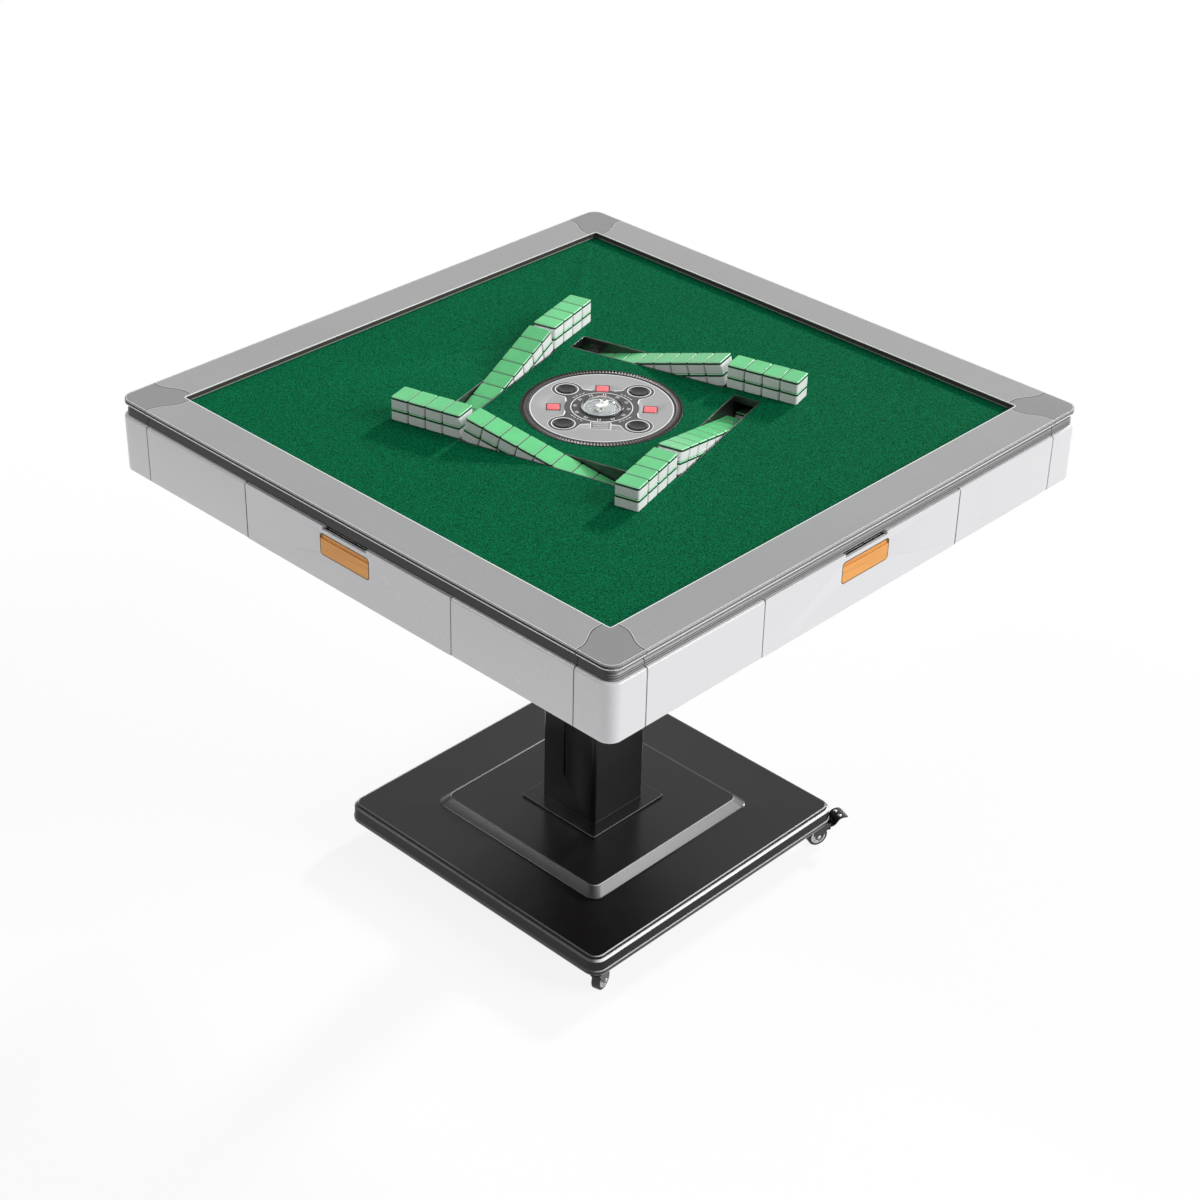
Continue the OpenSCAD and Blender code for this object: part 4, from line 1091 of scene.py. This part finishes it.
class MAHJONG_OT_control_plate(bpy.types.Operator):
    """Control plate with its dark insert, rings and marks"""
    bl_idname = "mahjong.control_plate"
    bl_label = "Control plate"

    def execute(self, context):
        s = context.scene.mahjong_centre
        z = FELT_TOP
        silver = paint("Plate satin", s.plate_colour, 0.94, rough=(0.34, 0.44), scale=8,
                       speckle=0.35, grain=(1800, 0.12))
        dark = paint("Insert film", s.insert_colour, 0.8, rough=(0.4, 0.5), scale=15,
                     speckle=0.5, grain=(1800, 0.15))
        black = paint("Black film", "242425", rough=(0.3, 0.4), grain=(1600, 0.1))
        white = paint("White print", s.print_colour, rough=(0.5, 0.6), grain=(1500, 0.1))
        bands = [flat_ring(30.2, 42.6, z + 0.1, z + 0.17),
                 # Painted shade: the dark ring from 100.5 to 101.7 in the gap between plate and
                 # knurled ring.
                 flat_ring(100.5, 101.7, z, z + 0.05, 160),
                 *at_buttons(flat_ring(14.0, 15.7, z + 0.1, z + 0.2, 64))]
        # Painted highlight: the first, white ring from 98.9 to 100.1 along the plate's edge; the
        # others are print.
        rings = [flat_ring(98.9, 100.1, z, z + 0.06, 160),
                 flat_ring(42.4, 43.6, z, z + 0.2, 128),
                 *at_buttons(flat_ring(15.5, 16.9, z, z + 0.22, 64))]
        marks = [around(37.5, a + step, z + 0.05, lean) for a in np.arange(12) * 30 + 8.0
                 for step, lean in ((-2.6, 8), (2.6, -8))]
        strokes = [around(48.0, a + step, z + 0.05, 90 + lean)
                   for a in BUTTON_TURN + 90 * np.arange(4)
                   for step, lean in ((-11, 20), (11, -20), (-4, 8), (4, -8))]
        white_marks = joined(*rings, many(block(5.0, 1.1, 0, 0.2, 0.02), marks),
                             many(block(4.0, 0.9, 0, 0.2, 0.02), strokes))
        dressed("plate_eased", "control_plate", "centre_unit", silver, 0.35, 2)
        for name, shape, finish in (
                ("plate_insert_line", insert_sheet(s, 1.15, z, z + 0.05), white),
                ("plate_insert_edge", insert_sheet(s, 0.35, z + 0.02, z + 0.09), black),
                ("plate_insert", insert_sheet(s, -0.8, z + 0.05, z + 0.13), dark),
                ("plate_dark_bands", joined(*bands), black),
                ("plate_marks", white_marks, white)):
            put(name, shape, "centre_unit", finish)
        return {"FINISHED"}


class MAHJONG_OT_knurled_ring(bpy.types.Operator):
    """Knurled ring round the control plate"""
    bl_idname = "mahjong.knurled_ring"
    bl_label = "Knurled ring"

    def execute(self, context):
        s = context.scene.mahjong_centre
        *shape, tooth_light_and_shade = self.ring(s.teeth, s.tooth_depth / MM)
        grey = paint("Knurled grey", s.ring_colour, 0.7, rough=(0.4, 0.55), specular=0.3,
                     scale=30, speckle=0.8, grain=(900, 0.4))
        put("ring_toothed", shape, "centre_unit", grey, 50,
            stands_for=["knurled_ring"], values={"painted_light": tooth_light_and_shade})
        # Painted shade: a black bead along the ring's outer edge, where it meets the cloth.
        edge_shade = eased([(111.7, 750.6), (113.05, 750.6), (113.05, 751.2), (111.7, 751.45)],
                     [0.1, 0.1, 0.3, 0.15], 2)
        put("ring_edge_shade", spun(edge_shade, 160), "centre_unit",
            paint("Ring edge shade", "151414", specular=0.3, grain=(1000, 0.1)))
        return {"FINISHED"}

    @staticmethod
    def ring(teeth, depth):
        """Ring section carried round Z; between radii 104 and 112 its top falls by depth times
        a raised cosine of the angle times the teeth, faded out at both edges. The third value
        is painted light: a painted highlight on the teeth, painted shade in the gaps between them
        and at the ring's inner and outer edges."""
        r = np.array([96.8, 101.5, 101.95, 101.85, 101.95, 102.6, 103.4, 104.4, 107.4, 110.6,
                      111.9, 112.7, 113.0, 113.0, 112.6, 97.0])
        h = np.array([746.7, 746.8, 747.2, 749.9, 750.9, 751.35, 751.4, 751.4, 751.4, 751.4,
                      751.25, 750.8, 749.6, 744.2, 743.8, 743.8])
        t = np.linspace(0, 2 * np.pi, teeth * 4, endpoint=False)[:, None]
        fade = np.clip((r - 103.4) / 1.0, 0, 1) * np.clip((112.9 - r) / 1.0, 0, 1) * (h > 750)
        dip = depth * (0.5 - 0.5 * np.cos(t * teeth)) * fade
        points = np.stack([r * np.cos(t), r * np.sin(t), h - dip], -1)
        tooth_light_and_shade = 0.2 * fade - 0.95 * dip / depth - (np.abs(r - 107.4) > 3.1)
        return points.reshape(-1, 3), [grid(teeth * 4, len(r), True, True)], tooth_light_and_shade.ravel()


class MAHJONG_OT_buttons(bpy.types.Operator):
    """Four round buttons with dished faces"""
    bl_idname = "mahjong.buttons"
    bl_label = "Buttons"

    def execute(self, context):
        s = context.scene.mahjong_centre
        black = paint("Button moulding", s.button_colour, 0.7, rough=(0.22, 0.32), specular=0.3,
                      scale=40, grain=(900, 0.04))
        r = np.linspace(0, 10.6, 8)
        dish = np.stack([r, 750.9 + 0.9 * (r / 10.6) ** 2], -1)
        edge = [(11.3, 752.1), (12.0, 752.3), (12.6, 752.1), (13.0, 751.5), (13.0, 746.6),
                (13.1, 746.5), (14.4, 746.5), (14.5, 746.4), (14.5, 744.6), (14.4, 744.5),
                (0, 744.5)]
        shapes = at_buttons(spun(np.concatenate([dish, edge]), 64, False))
        for k, shape in zip(SIDES, shapes):
            put(f"button_dished_{k}", shape, f"button_{k}", black, 35, True,
                [f"round_button_{k}"])
        return {"FINISHED"}


class MAHJONG_OT_lamps(bpy.types.Operator):
    """Three square lamps and the display lens, each with a frame line"""
    bl_idname = "mahjong.lamps"
    bl_label = "Lamps"

    def execute(self, context):
        s = context.scene.mahjong_centre
        z = FELT_TOP
        red = paint("Lamp lens", s.lamp_colour, 0.82, rough=(0.25, 0.35), scale=60, speckle=0.4,
                    grain=(700, 0.08), coat=0.3)
        dark = paint("Lamp frame", "5a2528", rough=(0.4, 0.5), grain=(1200, 0.1))
        grey = paint("Display lens", "8a8b8b", "757676", rough=(0.12, 0.2), scale=90,
                     speckle=0.5, grain=(900, 0.03), coat=0.5, coat_rough=0.05)
        lens = loft([(8.5, 1.8, z - 2), (8.7, 2.0, z - 1.7), (8.7, 2.0, z - 0.05),
                     (8.5, 1.8, z + 0.15), (7.8, 1.5, z + 0.3), (4.5, 1.2, z + 0.42)], 5)
        edge = loft([(8.75, 2.0, z - 2), (10.0, 2.6, z - 2), (9.9, 2.5, z + 0.2),
                     (8.8, 2.0, z + 0.2)], 5, True)
        display = loft([(9.6, 1.0, z - 2), (9.9, 1.2, z - 1.7), (9.9, 1.2, z),
                        (9.7, 1.0, z + 0.2)], 4)
        line = loft([(9.9, 1.2, z), (10.8, 1.8, z), (10.7, 1.7, z + 0.32),
                     (10.0, 1.2, z + 0.32)], 4, True)
        wider = np.array([1.0, 1.35, 1.0])
        bars = many(block(0.55, 21.0, 0, 0.1, 0.02),
                    [place(x, 0, z + 0.15) for x in (-5.5, 0.0, 5.5)])
        lamps = [around(67.3, 134.7), around(67.3, -49.4), around(56.0, 43.0)]
        spot = [around(54, 222.4)]
        for name, shape, slot, finish, nodes in (
                ("lamp_lens_set", many(lens, lamps), "lamp_red", red, ["lamp_lenses"]),
                ("lamp_frames", many(edge, lamps), "lamp_red", dark, ()),
                ("display_lens", many((display[0] * wider, display[1]), spot), "lamp_red", grey,
                 ["lamp_lenses"]),
                ("display_lines", many(joined((line[0] * wider, line[1]), bars), spot),
                 "plate_grey", paint("White print", s.print_colour), ())):
            put(name, shape, "centre_unit", finish, 50 if finish == red else 40,
                stands_for=nodes)
        return {"FINISHED"}


def rounded_cube(size, e):
    """Cube with rounded edges: a unit sphere's grid scaled to the radius e and pushed out by
    half the size less e along the sign of each coordinate. The middle row is there twice, at
    the top and the bottom of the flat sides."""
    u = np.linspace(0, np.pi, 13)[:, None]
    v = (np.arange(4)[:, None] * 90 + np.linspace(2, 88, 5)).ravel()[None] * np.pi / 180
    n = np.stack([np.sin(u) * np.cos(v), np.sin(u) * np.sin(v), np.cos(u) + 0 * v], -1)
    side = np.stack([np.sign(np.cos(v)) + 0 * u, np.sign(np.sin(v)) + 0 * u,
                     np.where(u < 1.57, 1.0, -1.0) + 0 * v], -1)
    ball = n * e + side * (size / 2 - e)
    rows = np.insert(ball, 6, ball[6], 0)
    rows[6, :, 2], rows[7, :, 2] = size / 2 - e, e - size / 2
    return rows.reshape(-1, 3), [grid(14, 20, False, True)]


def pip_discs(size):
    """Pips as low discs on the six faces; opposite faces add up to seven."""
    q = size * 0.26
    pair, square = [(-q, -q), (q, q)], [(-q, -q), (q, q), (-q, q), (q, -q)]
    faces = (([(0, 0)], [[1, 0, 0], [0, 1, 0], [0, 0, 1]]),
             (pair, [[1, 0, 0], [0, 0, 1], [0, -1, 0]]),
             ([*pair, (0, 0)], [[0, 0, 1], [0, 1, 0], [-1, 0, 0]]),
             (square, [[0, 0, -1], [0, 1, 0], [1, 0, 0]]),
             ([*square, (0, 0)], [[1, 0, 0], [0, 0, -1], [0, 1, 0]]),
             ([*square, (-q, 0), (q, 0)], [[1, 0, 0], [0, -1, 0], [0, 0, -1]]))
    places = [np.column_stack([turn, np.array(turn, float) @ (x, y, size / 2 - 0.06)])
              for spots, turn in faces for x, y in spots]
    return many(spun([(0, 0.12), (0.75, 0.1), (0.85, 0.0), (0, 0.0)], 12, False), places)


class MAHJONG_OT_dice_dome(bpy.types.Operator):
    """Clear dome with its dark rim, the dice and their turntable"""
    bl_idname = "mahjong.dice_dome"
    bl_label = "Dice dome"

    def execute(self, context):
        inside = DOME_RADIUS - DOME_WALL
        a = np.linspace(0, math.asin(28 / DOME_RADIUS), 22)
        b = np.linspace(math.acos((FELT_TOP - DOME_MIDDLE) / inside), 0, 22)
        shell = [np.stack([r * np.sin(t), DOME_MIDDLE + r * np.cos(t)], -1)
                 for r, t in ((DOME_RADIUS, a), (inside, b))]
        rim = eased([(28.15, 750.8), (31.2, 750.8), (30.2, 752.9), (28.35, 752.9)],
                    [0.1, 0.1, 0.7, 0.4], 3)
        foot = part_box("dice_table")[0].z / MM
        disc = [(0, 749.1), (4.5, 749.1), (6, 749.25), (20.6, 749.3), (21.6, 749.3),
                (22.6, 749.15), (23.1, 748.6), (23.1, 747.6), (22.8, 747.3), (3.0, 747.3),
                (3.0, foot), (0, foot)]
        black = paint("Dome rim", "161617", rough=(0.25, 0.35), grain=(1000, 0.05))
        satin = paint("Turntable satin", "8b8d8f", "7e8082", rough=(0.4, 0.5), scale=50,
                      grain=(1500, 0.1))
        white = paint("Dice resin", "f3f1ea", "e9e6dd", rough=(0.2, 0.3), scale=80,
                      grain=(800, 0.02))
        ink = paint("Pip ink", "2a3a6a", "202c52", rough=(0.35, 0.5), scale=200)
        upright, tipped = np.eye(3), np.array([[0.0, 0, 1], [0, 1, 0], [-1, 0, 0]])
        spots = [np.column_stack([p[:, :3] @ tip, p[:, 3]]) for p, tip in (
            (around(8, 20, 753.8, 65), upright), (around(8, 200, 753.8, 65), tipped))]
        put("dome_shell", spun(np.concatenate(shell), 96, False), "centre_unit",
            clear_dome(), 40, True, ["dice_dome"])
        put("dome_rim", spun(rim, 96), "centre_unit", black)
        put("dice_table_turned", spun(disc, 96, False), "dice_turntable", satin, 30,
            True, ["dice_table"])
        put("dice_bodies", many(rounded_cube(DIE_SIZE, DIE_ROUND), spots), "dice_turntable",
            white, 60, True, ["dice"])
        put("dice_pips", many(pip_discs(DIE_SIZE), spots), "dice_turntable", ink,
            40, True)
        return {"FINISHED"}


# ---------------------------------------------------------------- inside and below

class MAHJONG_OT_machinery(bpy.types.Operator):
    """Lift housing, drum, motor, drive wheel, guide bush and control box"""
    bl_idname = "mahjong.machinery"
    bl_label = "Machinery"

    def execute(self, context):
        dark = dark_moulding()
        drum = paint("Drum moulding", "54575a", "46494c", rough=(0.4, 0.55), grain=(900, 0.2))
        brass = brushed("Bush brass", "c9a45a", "a4803c", (90, 90, 700))
        case = brushed("Motor case", "a9abad", "7d8082", (60, 60, 800))
        rubber = paint("Drive rubber", "1c1c1d", rough=(0.65, 0.8), grain=(700, 0.5))
        for name, node, body, slot, finish, ease, segments in (
                ("housing_eased", "lift_housing", "centre_unit", "dark_plastic", dark, 0.3, 1),
                ("drum_eased", "mixing_drum", "drum", "dark_plastic", drum, 0.4, 1),
                ("bush_eased", "guide_bush", "table", "bush_brass", brass, 0.4, 1),
                ("motor_eased", "drum_motor", "table", "frame_steel", case, 0.5, 2),
                ("drive_wheel_eased", "drive_wheel", "drive", "drive_rubber", rubber, 0.6, 2),
                ("control_box_eased", "control_box", "table", "dark_plastic", dark, 0.8, 2)):
            dressed(name, node, body, finish, ease, segments)
        return {"FINISHED"}


class MAHJONG_OT_case(bpy.types.Operator):
    """Frame of beams, floor plate and pan"""
    bl_idname = "mahjong.case"
    bl_label = "Case"

    def execute(self, context):
        coat = paint("Powder coat", "2a2b2d", rough=(0.5, 0.65), grain=(1500, 0.35))
        dressed("frame_eased", "chassis_frame", "table", coat, 0.5, 1)
        dressed("floor_eased", "floor_plate", "table", coat, 0.4, 1)
        dressed("pan_eased", "belly_pan", "table", dark_moulding(), 1.0, 2)
        return {"FINISHED"}


class MAHJONG_OT_column(bpy.types.Operator):
    """Square column with its foot plate and head plate"""
    bl_idname = "mahjong.column"
    bl_label = "Column"

    def execute(self, context):
        s = context.scene.mahjong_foot
        dressed("column_eased", "column", "table", dark_steel_paint(s),
                s.plate_ease / MM, 2)
        return {"FINISHED"}


class MAHJONG_OT_base(bpy.types.Operator):
    """Pressed base cover with a raised plinth, and its caster sockets"""
    bl_idname = "mahjong.base"
    bl_label = "Base"

    def execute(self, context):
        s = context.scene.mahjong_foot
        steel = dark_steel_paint(s)
        rows = np.array(self.pressing(s.plinth_corner / MM))
        shell = loft(rows[:, :3], 10)
        # Painted light of each row, spread over its points; the painted highlights are stronger on
        # the sides facing Y.
        marks = np.repeat(rows[:, 3], len(shell[0]) // len(rows))
        marks = np.where(marks > 0, marks * lit_side_share(shell[0], 0.12), marks)
        put("base_pressed", shell, "table", steel, 35, stands_for=["base_cover"],
            values={"painted_light": marks})
        # Painted highlight: a pale strip along the foot plate's top edge.
        line = ring_strip(76.5, 4, [(-0.7, 84.03), (0.04, 83.6), (0.04, 82.9), (-0.4, 82.8),
                                    (-1.2, 83.9)])
        put("foot_plate_highlight", line, "table",
            paint("Painted edge highlight", "8f8c8c", rough=(0.25, 0.35)))
        tube = spun([(5.55, 37.3), (5.9, 36.9), (10.6, 36.9), (11.0, 37.3), (11.0, 64.5),
                     (5.55, 64.5)], 40)
        put("caster_sockets", many(tube, [place(x, y) for x, y, _ in CASTERS]), "table",
            steel, 35)
        dressed("bolts_eased", "bolts", "table", bright_metal(), 0.3, 2)
        return {"FINISHED"}

    @staticmethod
    def pressing(c):
        """Rows of (half width, corner radius, height, painted light) over the cover from the middle
        of its top, round its rim and back underneath; painted light above zero is a painted
        highlight along an edge, below zero painted shade in the rim's groove. The plinth's corners
        follow c, and the rim's radius is its half width less the straight part."""
        top = [(0.5, 0.2, 80, 0), (60, 5, 80, 0), (155.8, c - 3, 80, 0),
               (155.9, c - 2.9, 80, 0.6), (157.7, c - 1.6, 79.85, 0.6),
               (157.8, c - 1.5, 79.75, 0.2), (159.4, c - 0.9, 78.4, 0.2),
               (168.6, c + 1.2, 68.6, 0.16), (169.6, c + 2, 67.6, 0), (171.2, c + 3.2, 67.1, 0),
               (173.5, c + 4.5, 67.0, 0)]
        rim = [(256.6, 67, 0), (256.7, 67, 0.8), (258.6, 66.9, 0.8), (258.7, 66.8, 0),
               (259.1, 66.0, -1), (259.0, 63.6, -1), (259.3, 63.3, -1), (259.5, 63.3, 0),
               (260.2, 63.25, 0), (260.3, 63.2, 1), (262.4, 62.5, 1), (263.4, 61.4, 1),
               (263.6, 60.6, 1), (263.65, 60.5, 0), (263.7, 45.9, 0), (264.0, 45.4, 0),
               (264.1, 45.3, 0.5), (264.9, 44.2, 0.5), (265.0, 43.7, 0.5), (265.0, 43.6, 0),
               (264.95, 38.7, 0), (264.9, 38.6, 0.5), (264.8, 37.9, 0.5), (264.7, 37.7, 0),
               (263.9, 37.0, 0), (262.7, 37.2, 0), (262.0, 38.0, 0), (261.1, 60.0, 0),
               (260.1, 61.5, 0), (257.9, 63.2, 0)]
        under = [(171.0, c + 3, 64.0, 0), (167.6, c + 1, 65.0, 0), (156.5, c - 2, 76.4, 0),
                 (154.5, c - 3, 77.0, 0), (60, 5, 77, 0), (0.5, 0.2, 77, 0)]
        return top + [(half, half - BASE_STRAIGHT, z, tooth_light_and_shade) for half, z, tooth_light_and_shade in rim] + under


def on_axle(shape, k, side=1):
    """A shape made about Z, laid with Z along the axle of caster k. The axle is level and square
    to the way from the caster's pivot to its wheel's middle, which its box gives."""
    low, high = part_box(f"caster_wheel_{k}")
    mid = np.array((low + high) / 2) / MM
    x, y, _ = CASTERS[k - 1]
    ahead = unit(np.array([mid[0] - x, mid[1] - y, 0.0]))
    axle = np.array([-ahead[1], ahead[0], 0.0])
    turn = np.stack([ahead, np.array([0, 0, 1.0]) * side, axle * side], -1)
    return shape[0] @ turn.T + mid, shape[1]


class MAHJONG_OT_casters(bpy.types.Operator):
    """Casters: forks, rubber treads, bright hubs with ribs, rivets and the brake pedal"""
    bl_idname = "mahjong.casters"
    bl_label = "Casters"

    def execute(self, context):
        s = context.scene.mahjong_caster
        cover = paint("Fork moulding", s.cover_colour, 0.8, rough=(0.3, 0.42),
                      grain=(1300, 0.12))
        rubber = paint("Tread rubber", s.tread_colour, 0.7, rough=(0.5, 0.7), grain=(900, 0.3))
        black = paint("Pedal paint", "0d0d0e", rough=(0.25, 0.35), specular=0.4)
        bright = bright_metal()
        tread = spun(eased([(12.0, -6.6), (16.5, -6.9), (16.5, 6.9), (12.0, 6.6)],
                           [0.3, 2.2, 2.2, 0.3], 5), 48)
        half = [(3.05, -7.0), (5.4, -7.0), (6.0, -6.4), (6.3, -5.7), (9.2, -5.7), (9.6, -6.2),
                (9.9, -6.9), (10.4, -7.0), (11.8, -7.0), (12.3, -6.6)]
        ribs = many(block(3.4, 1.0, 5.6, 6.6, 0.15),
                    [around(7.7, a) for a in np.arange(s.spokes) * 360 / s.spokes])
        hub = joined(spun(half + [(r, -z) for r, z in half[::-1]], 48), ribs,
                     (ribs[0] * np.array([1, 1, -1]), ribs[1]))
        dome = spun([(0, 1.1), (1.4, 0.95), (2.6, 0.5), (3.1, 0.0), (3.1, -0.6), (0, -0.6)], 28,
                    False)
        for k in SIDES:
            wheel, fork, nodes = f"wheel_{k}", f"fork_{k}", [f"caster_wheel_{k}"]
            put(f"tread_{k}", on_axle(tread, k), wheel, rubber, stands_for=nodes)
            put(f"hub_{k}", on_axle(hub, k), wheel, bright, stands_for=nodes)
            dressed(f"fork_eased_{k}", f"caster_fork_{k}", fork, cover, 0.5, 2)
            caps = joined(*(on_axle(moved(dome, z=9.7), k, side) for side in (1, -1)))
            put(f"axle_caps_{k}", caps, fork, bright, 35, True)
        plate, rivets = self.pedal(dome)
        put("pedal_bent", plate, "brake", black, 30, stands_for=["brake_pedal"])
        put("pedal_rivets", rivets, "brake", bright, 35, True)
        return {"FINISHED"}

    @staticmethod
    def pedal(dome):
        """Bent plate on its barrel, and two rivets on it: a section as wide as the plate, square
        to the path (distance from the caster's pivot, height), carried along that path."""
        path = np.array([(44.0, 29.2), (47.5, 29.6), (50.5, 31.5), (53.0, 36.0), (55.5, 41.0),
                         (59.0, 44.2), (64.0, 45.4), (70.0, 44.8), (73.4, 43.2), (74.6, 41.8)])
        half = np.array([7.4, 7.4, 9.5, 12.0, 12.8, 12.8, 12.8, 12.8, 12.0, 10.5])
        ahead = unit(np.gradient(path, axis=0))
        up = np.stack([-ahead[:, 1], ahead[:, 0]], -1)
        ring = np.stack([path - up, path - up, path + up, path + up], 1)
        across = half[:, None] * np.array([-1, 1, 1, -1])
        points = np.stack([ring[..., 0], across, ring[..., 1]], -1).reshape(-1, 3)
        barrel = spun([(0, -7.5), (2.6, -7.5), (3.0, -7.1), (3.0, 7.1), (2.6, 7.5), (0, 7.5)], 24,
                      False)
        barrel = moved((barrel[0][:, [0, 2, 1]], barrel[1]), 43, 0, 29)
        heads = joined(*(moved(dome, 62, side * 6.5, 45.9) for side in (1, -1)))
        x, y, turn = CASTERS[1]
        at = [place(x, y, 0, turn)]
        return many(joined((points, capped(len(path), 4)), barrel), at), many(heads, at)


# ---------------------------------------------------------------- stage

def direct_rays(tree):
    """One for rays from the camera, a mirror or a clear piece, zero for the rest."""
    path = tree.nodes.new("ShaderNodeLightPath").outputs
    seen = maths(tree, "MAXIMUM", path["Is Camera Ray"], path["Is Glossy Ray"])
    return maths(tree, "MAXIMUM", seen, path["Is Transmission Ray"])


def floor_finish():
    """Pale floor: even and near white for the camera with a little of its lit self, so the
    table's shadow stays, plain and pale for light that bounces."""
    material, tree, here = empty("Pale floor")
    drift = uneven(tree, here, 0.8, (0.8, 0.8, 0.8), (0.78, 0.78, 0.78), 0.0, (0.8, 0.9))
    lit = add(tree, "ShaderNodeBsdfDiffuse", {"Color": drift["Color"]}).outputs[0]
    glow = add(tree, "ShaderNodeEmission", {"Color": full("ffffff"), "Strength": 1.03}).outputs[0]
    seen = add(tree, "ShaderNodeMixShader", {0: 0.16, 1: glow, 2: lit}).outputs[0]
    mix = add(tree, "ShaderNodeMixShader", {0: direct_rays(tree), 1: lit, 2: seen})
    add(tree, "ShaderNodeOutputMaterial", {0: mix.outputs[0]})
    return material


def lamp(name, azimuth, elevation, strength, spread_angle):
    """Sun lamp that shines from an azimuth, counted from +X, and an elevation."""
    light = bpy.data.lights.new(name, "SUN")
    light.energy = strength
    light.angle = math.radians(spread_angle)
    made = bpy.data.objects.new(name, light)
    made.rotation_euler = (0, math.radians(90 - elevation), math.radians(azimuth))
    bpy.context.scene.collection.objects.link(made)


class MAHJONG_OT_stage(bpy.types.Operator):
    """Pale floor, world, four lamps and the camera"""
    bl_idname = "mahjong.stage"
    bl_label = "Stage"

    def execute(self, context):
        s = context.scene.mahjong_stage
        self.floor()
        self.world(s.sky)
        lamp("Low sun", 8, 27, s.low_sun, 7)
        lamp("Front light", -58, 30, s.front_light, 34)
        lamp("Edge light", 128, 40, 0.34, 10)
        lamp("Left fill", 184, 25, 0.1, 70)
        self.camera(context, s.lens)
        context.scene.view_settings.view_transform = "Standard"
        return {"FINISHED"}

    @staticmethod
    def floor():
        """Flat disc of 12 m radius at height zero."""
        radius, sides = 12, 96
        a = np.linspace(0, 2 * np.pi, sides, endpoint=False)
        points = np.stack([radius * np.cos(a), radius * np.sin(a), 0 * a], -1)
        mesh = bpy.data.meshes.new("floor")
        mesh.from_pydata(points.tolist(), [], [list(range(sides))])
        mesh.materials.append(floor_finish())
        floor = bpy.data.objects.new("floor", mesh)
        bpy.context.scene.collection.objects.link(floor)

    @staticmethod
    def world(sky):
        """World that is white where it is seen or mirrored, and an even sky for the rest."""
        world = bpy.data.worlds.new("Studio")
        bpy.context.scene.world = world
        world.use_nodes = True
        tree = world.node_tree
        tree.nodes.clear()
        level = spread(tree, direct_rays(tree), 0, 1, sky, 1.0)
        back = add(tree, "ShaderNodeBackground", {"Color": full("ffffff"), "Strength": level})
        add(tree, "ShaderNodeOutputWorld", {0: back.outputs[0]})

    @staticmethod
    def camera(context, lens):
        """Camera from its place, turn, tilt and roll: the view direction from turn and tilt, and
        the picture's two axes turned by the roll."""
        yaw, tilt, roll = math.radians(43.29), math.radians(32.29), math.radians(1.394)
        ahead = np.array([math.cos(yaw) * math.cos(tilt), math.sin(yaw) * math.cos(tilt),
                          -math.sin(tilt)])
        right = np.array([math.sin(yaw), -math.cos(yaw), 0.0])
        up = np.cross(right, ahead)
        across = math.cos(roll) * right + math.sin(roll) * up
        high = -math.sin(roll) * right + math.cos(roll) * up
        data = bpy.data.cameras.new("Camera")
        data.lens = lens
        data.sensor_width = 36
        data.clip_end = 100
        made = bpy.data.objects.new("Camera", data)
        place_at = np.eye(4)
        place_at[:3, 0], place_at[:3, 1], place_at[:3, 2] = across, high, -ahead
        place_at[:3, 3] = np.array([-2180.95, -2060.14, 2331.12]) * MM
        context.scene.collection.objects.link(made)
        made.matrix_world = Matrix(place_at.tolist())
        context.scene.camera = made


# ---------------------------------------------------------------- panel and registering

GROUPS = (("mahjong_top", TopFinish), ("mahjong_cloth", ClothFinish),
          ("mahjong_tile", TileFinish), ("mahjong_centre", CentreFinish),
          ("mahjong_drawer", DrawerFinish), ("mahjong_foot", FootFinish),
          ("mahjong_caster", CasterFinish), ("mahjong_stage", StageFinish))
OPERATORS = (MAHJONG_OT_stage, MAHJONG_OT_bezel, MAHJONG_OT_neck, MAHJONG_OT_apron,
             MAHJONG_OT_drawers, MAHJONG_OT_cloth, MAHJONG_OT_slots, MAHJONG_OT_tiles,
             MAHJONG_OT_control_plate, MAHJONG_OT_knurled_ring, MAHJONG_OT_buttons,
             MAHJONG_OT_lamps, MAHJONG_OT_dice_dome, MAHJONG_OT_machinery, MAHJONG_OT_case,
             MAHJONG_OT_column, MAHJONG_OT_base, MAHJONG_OT_casters)


class MAHJONG_PT_pieces(bpy.types.Panel):
    """Lists the table's pieces and their sizes and colours"""
    bl_idname = "MAHJONG_PT_pieces"
    bl_label = "Mahjong table"
    bl_space_type = "VIEW_3D"
    bl_region_type = "UI"
    bl_category = "Mahjong table"

    def draw(self, context):
        for name, kind in GROUPS:
            box = self.layout.box()
            box.label(text=kind.__doc__)
            for key in kind.__annotations__:
                box.prop(getattr(context.scene, name), key)
        for operator in OPERATORS:
            self.layout.operator(operator.bl_idname)


def register():
    """Registers the groups, operators and panel."""
    for name, kind in GROUPS:
        bpy.utils.register_class(kind)
        setattr(bpy.types.Scene, name, PointerProperty(type=kind))
    for kind in (*OPERATORS, MAHJONG_PT_pieces):
        bpy.utils.register_class(kind)


def unregister():
    """Takes them away again, last first."""
    for kind in reversed((*OPERATORS, MAHJONG_PT_pieces)):
        bpy.utils.unregister_class(kind)
    for name, kind in reversed(GROUPS):
        delattr(bpy.types.Scene, name)
        bpy.utils.unregister_class(kind)


def main():
    """Builds every piece in order."""
    register()
    for operator in OPERATORS:
        group_name, call = operator.bl_idname.split(".")
        getattr(getattr(bpy.ops, group_name), call)()
    bpy.context.view_layer.update()


if __name__ == "__main__":
    main()
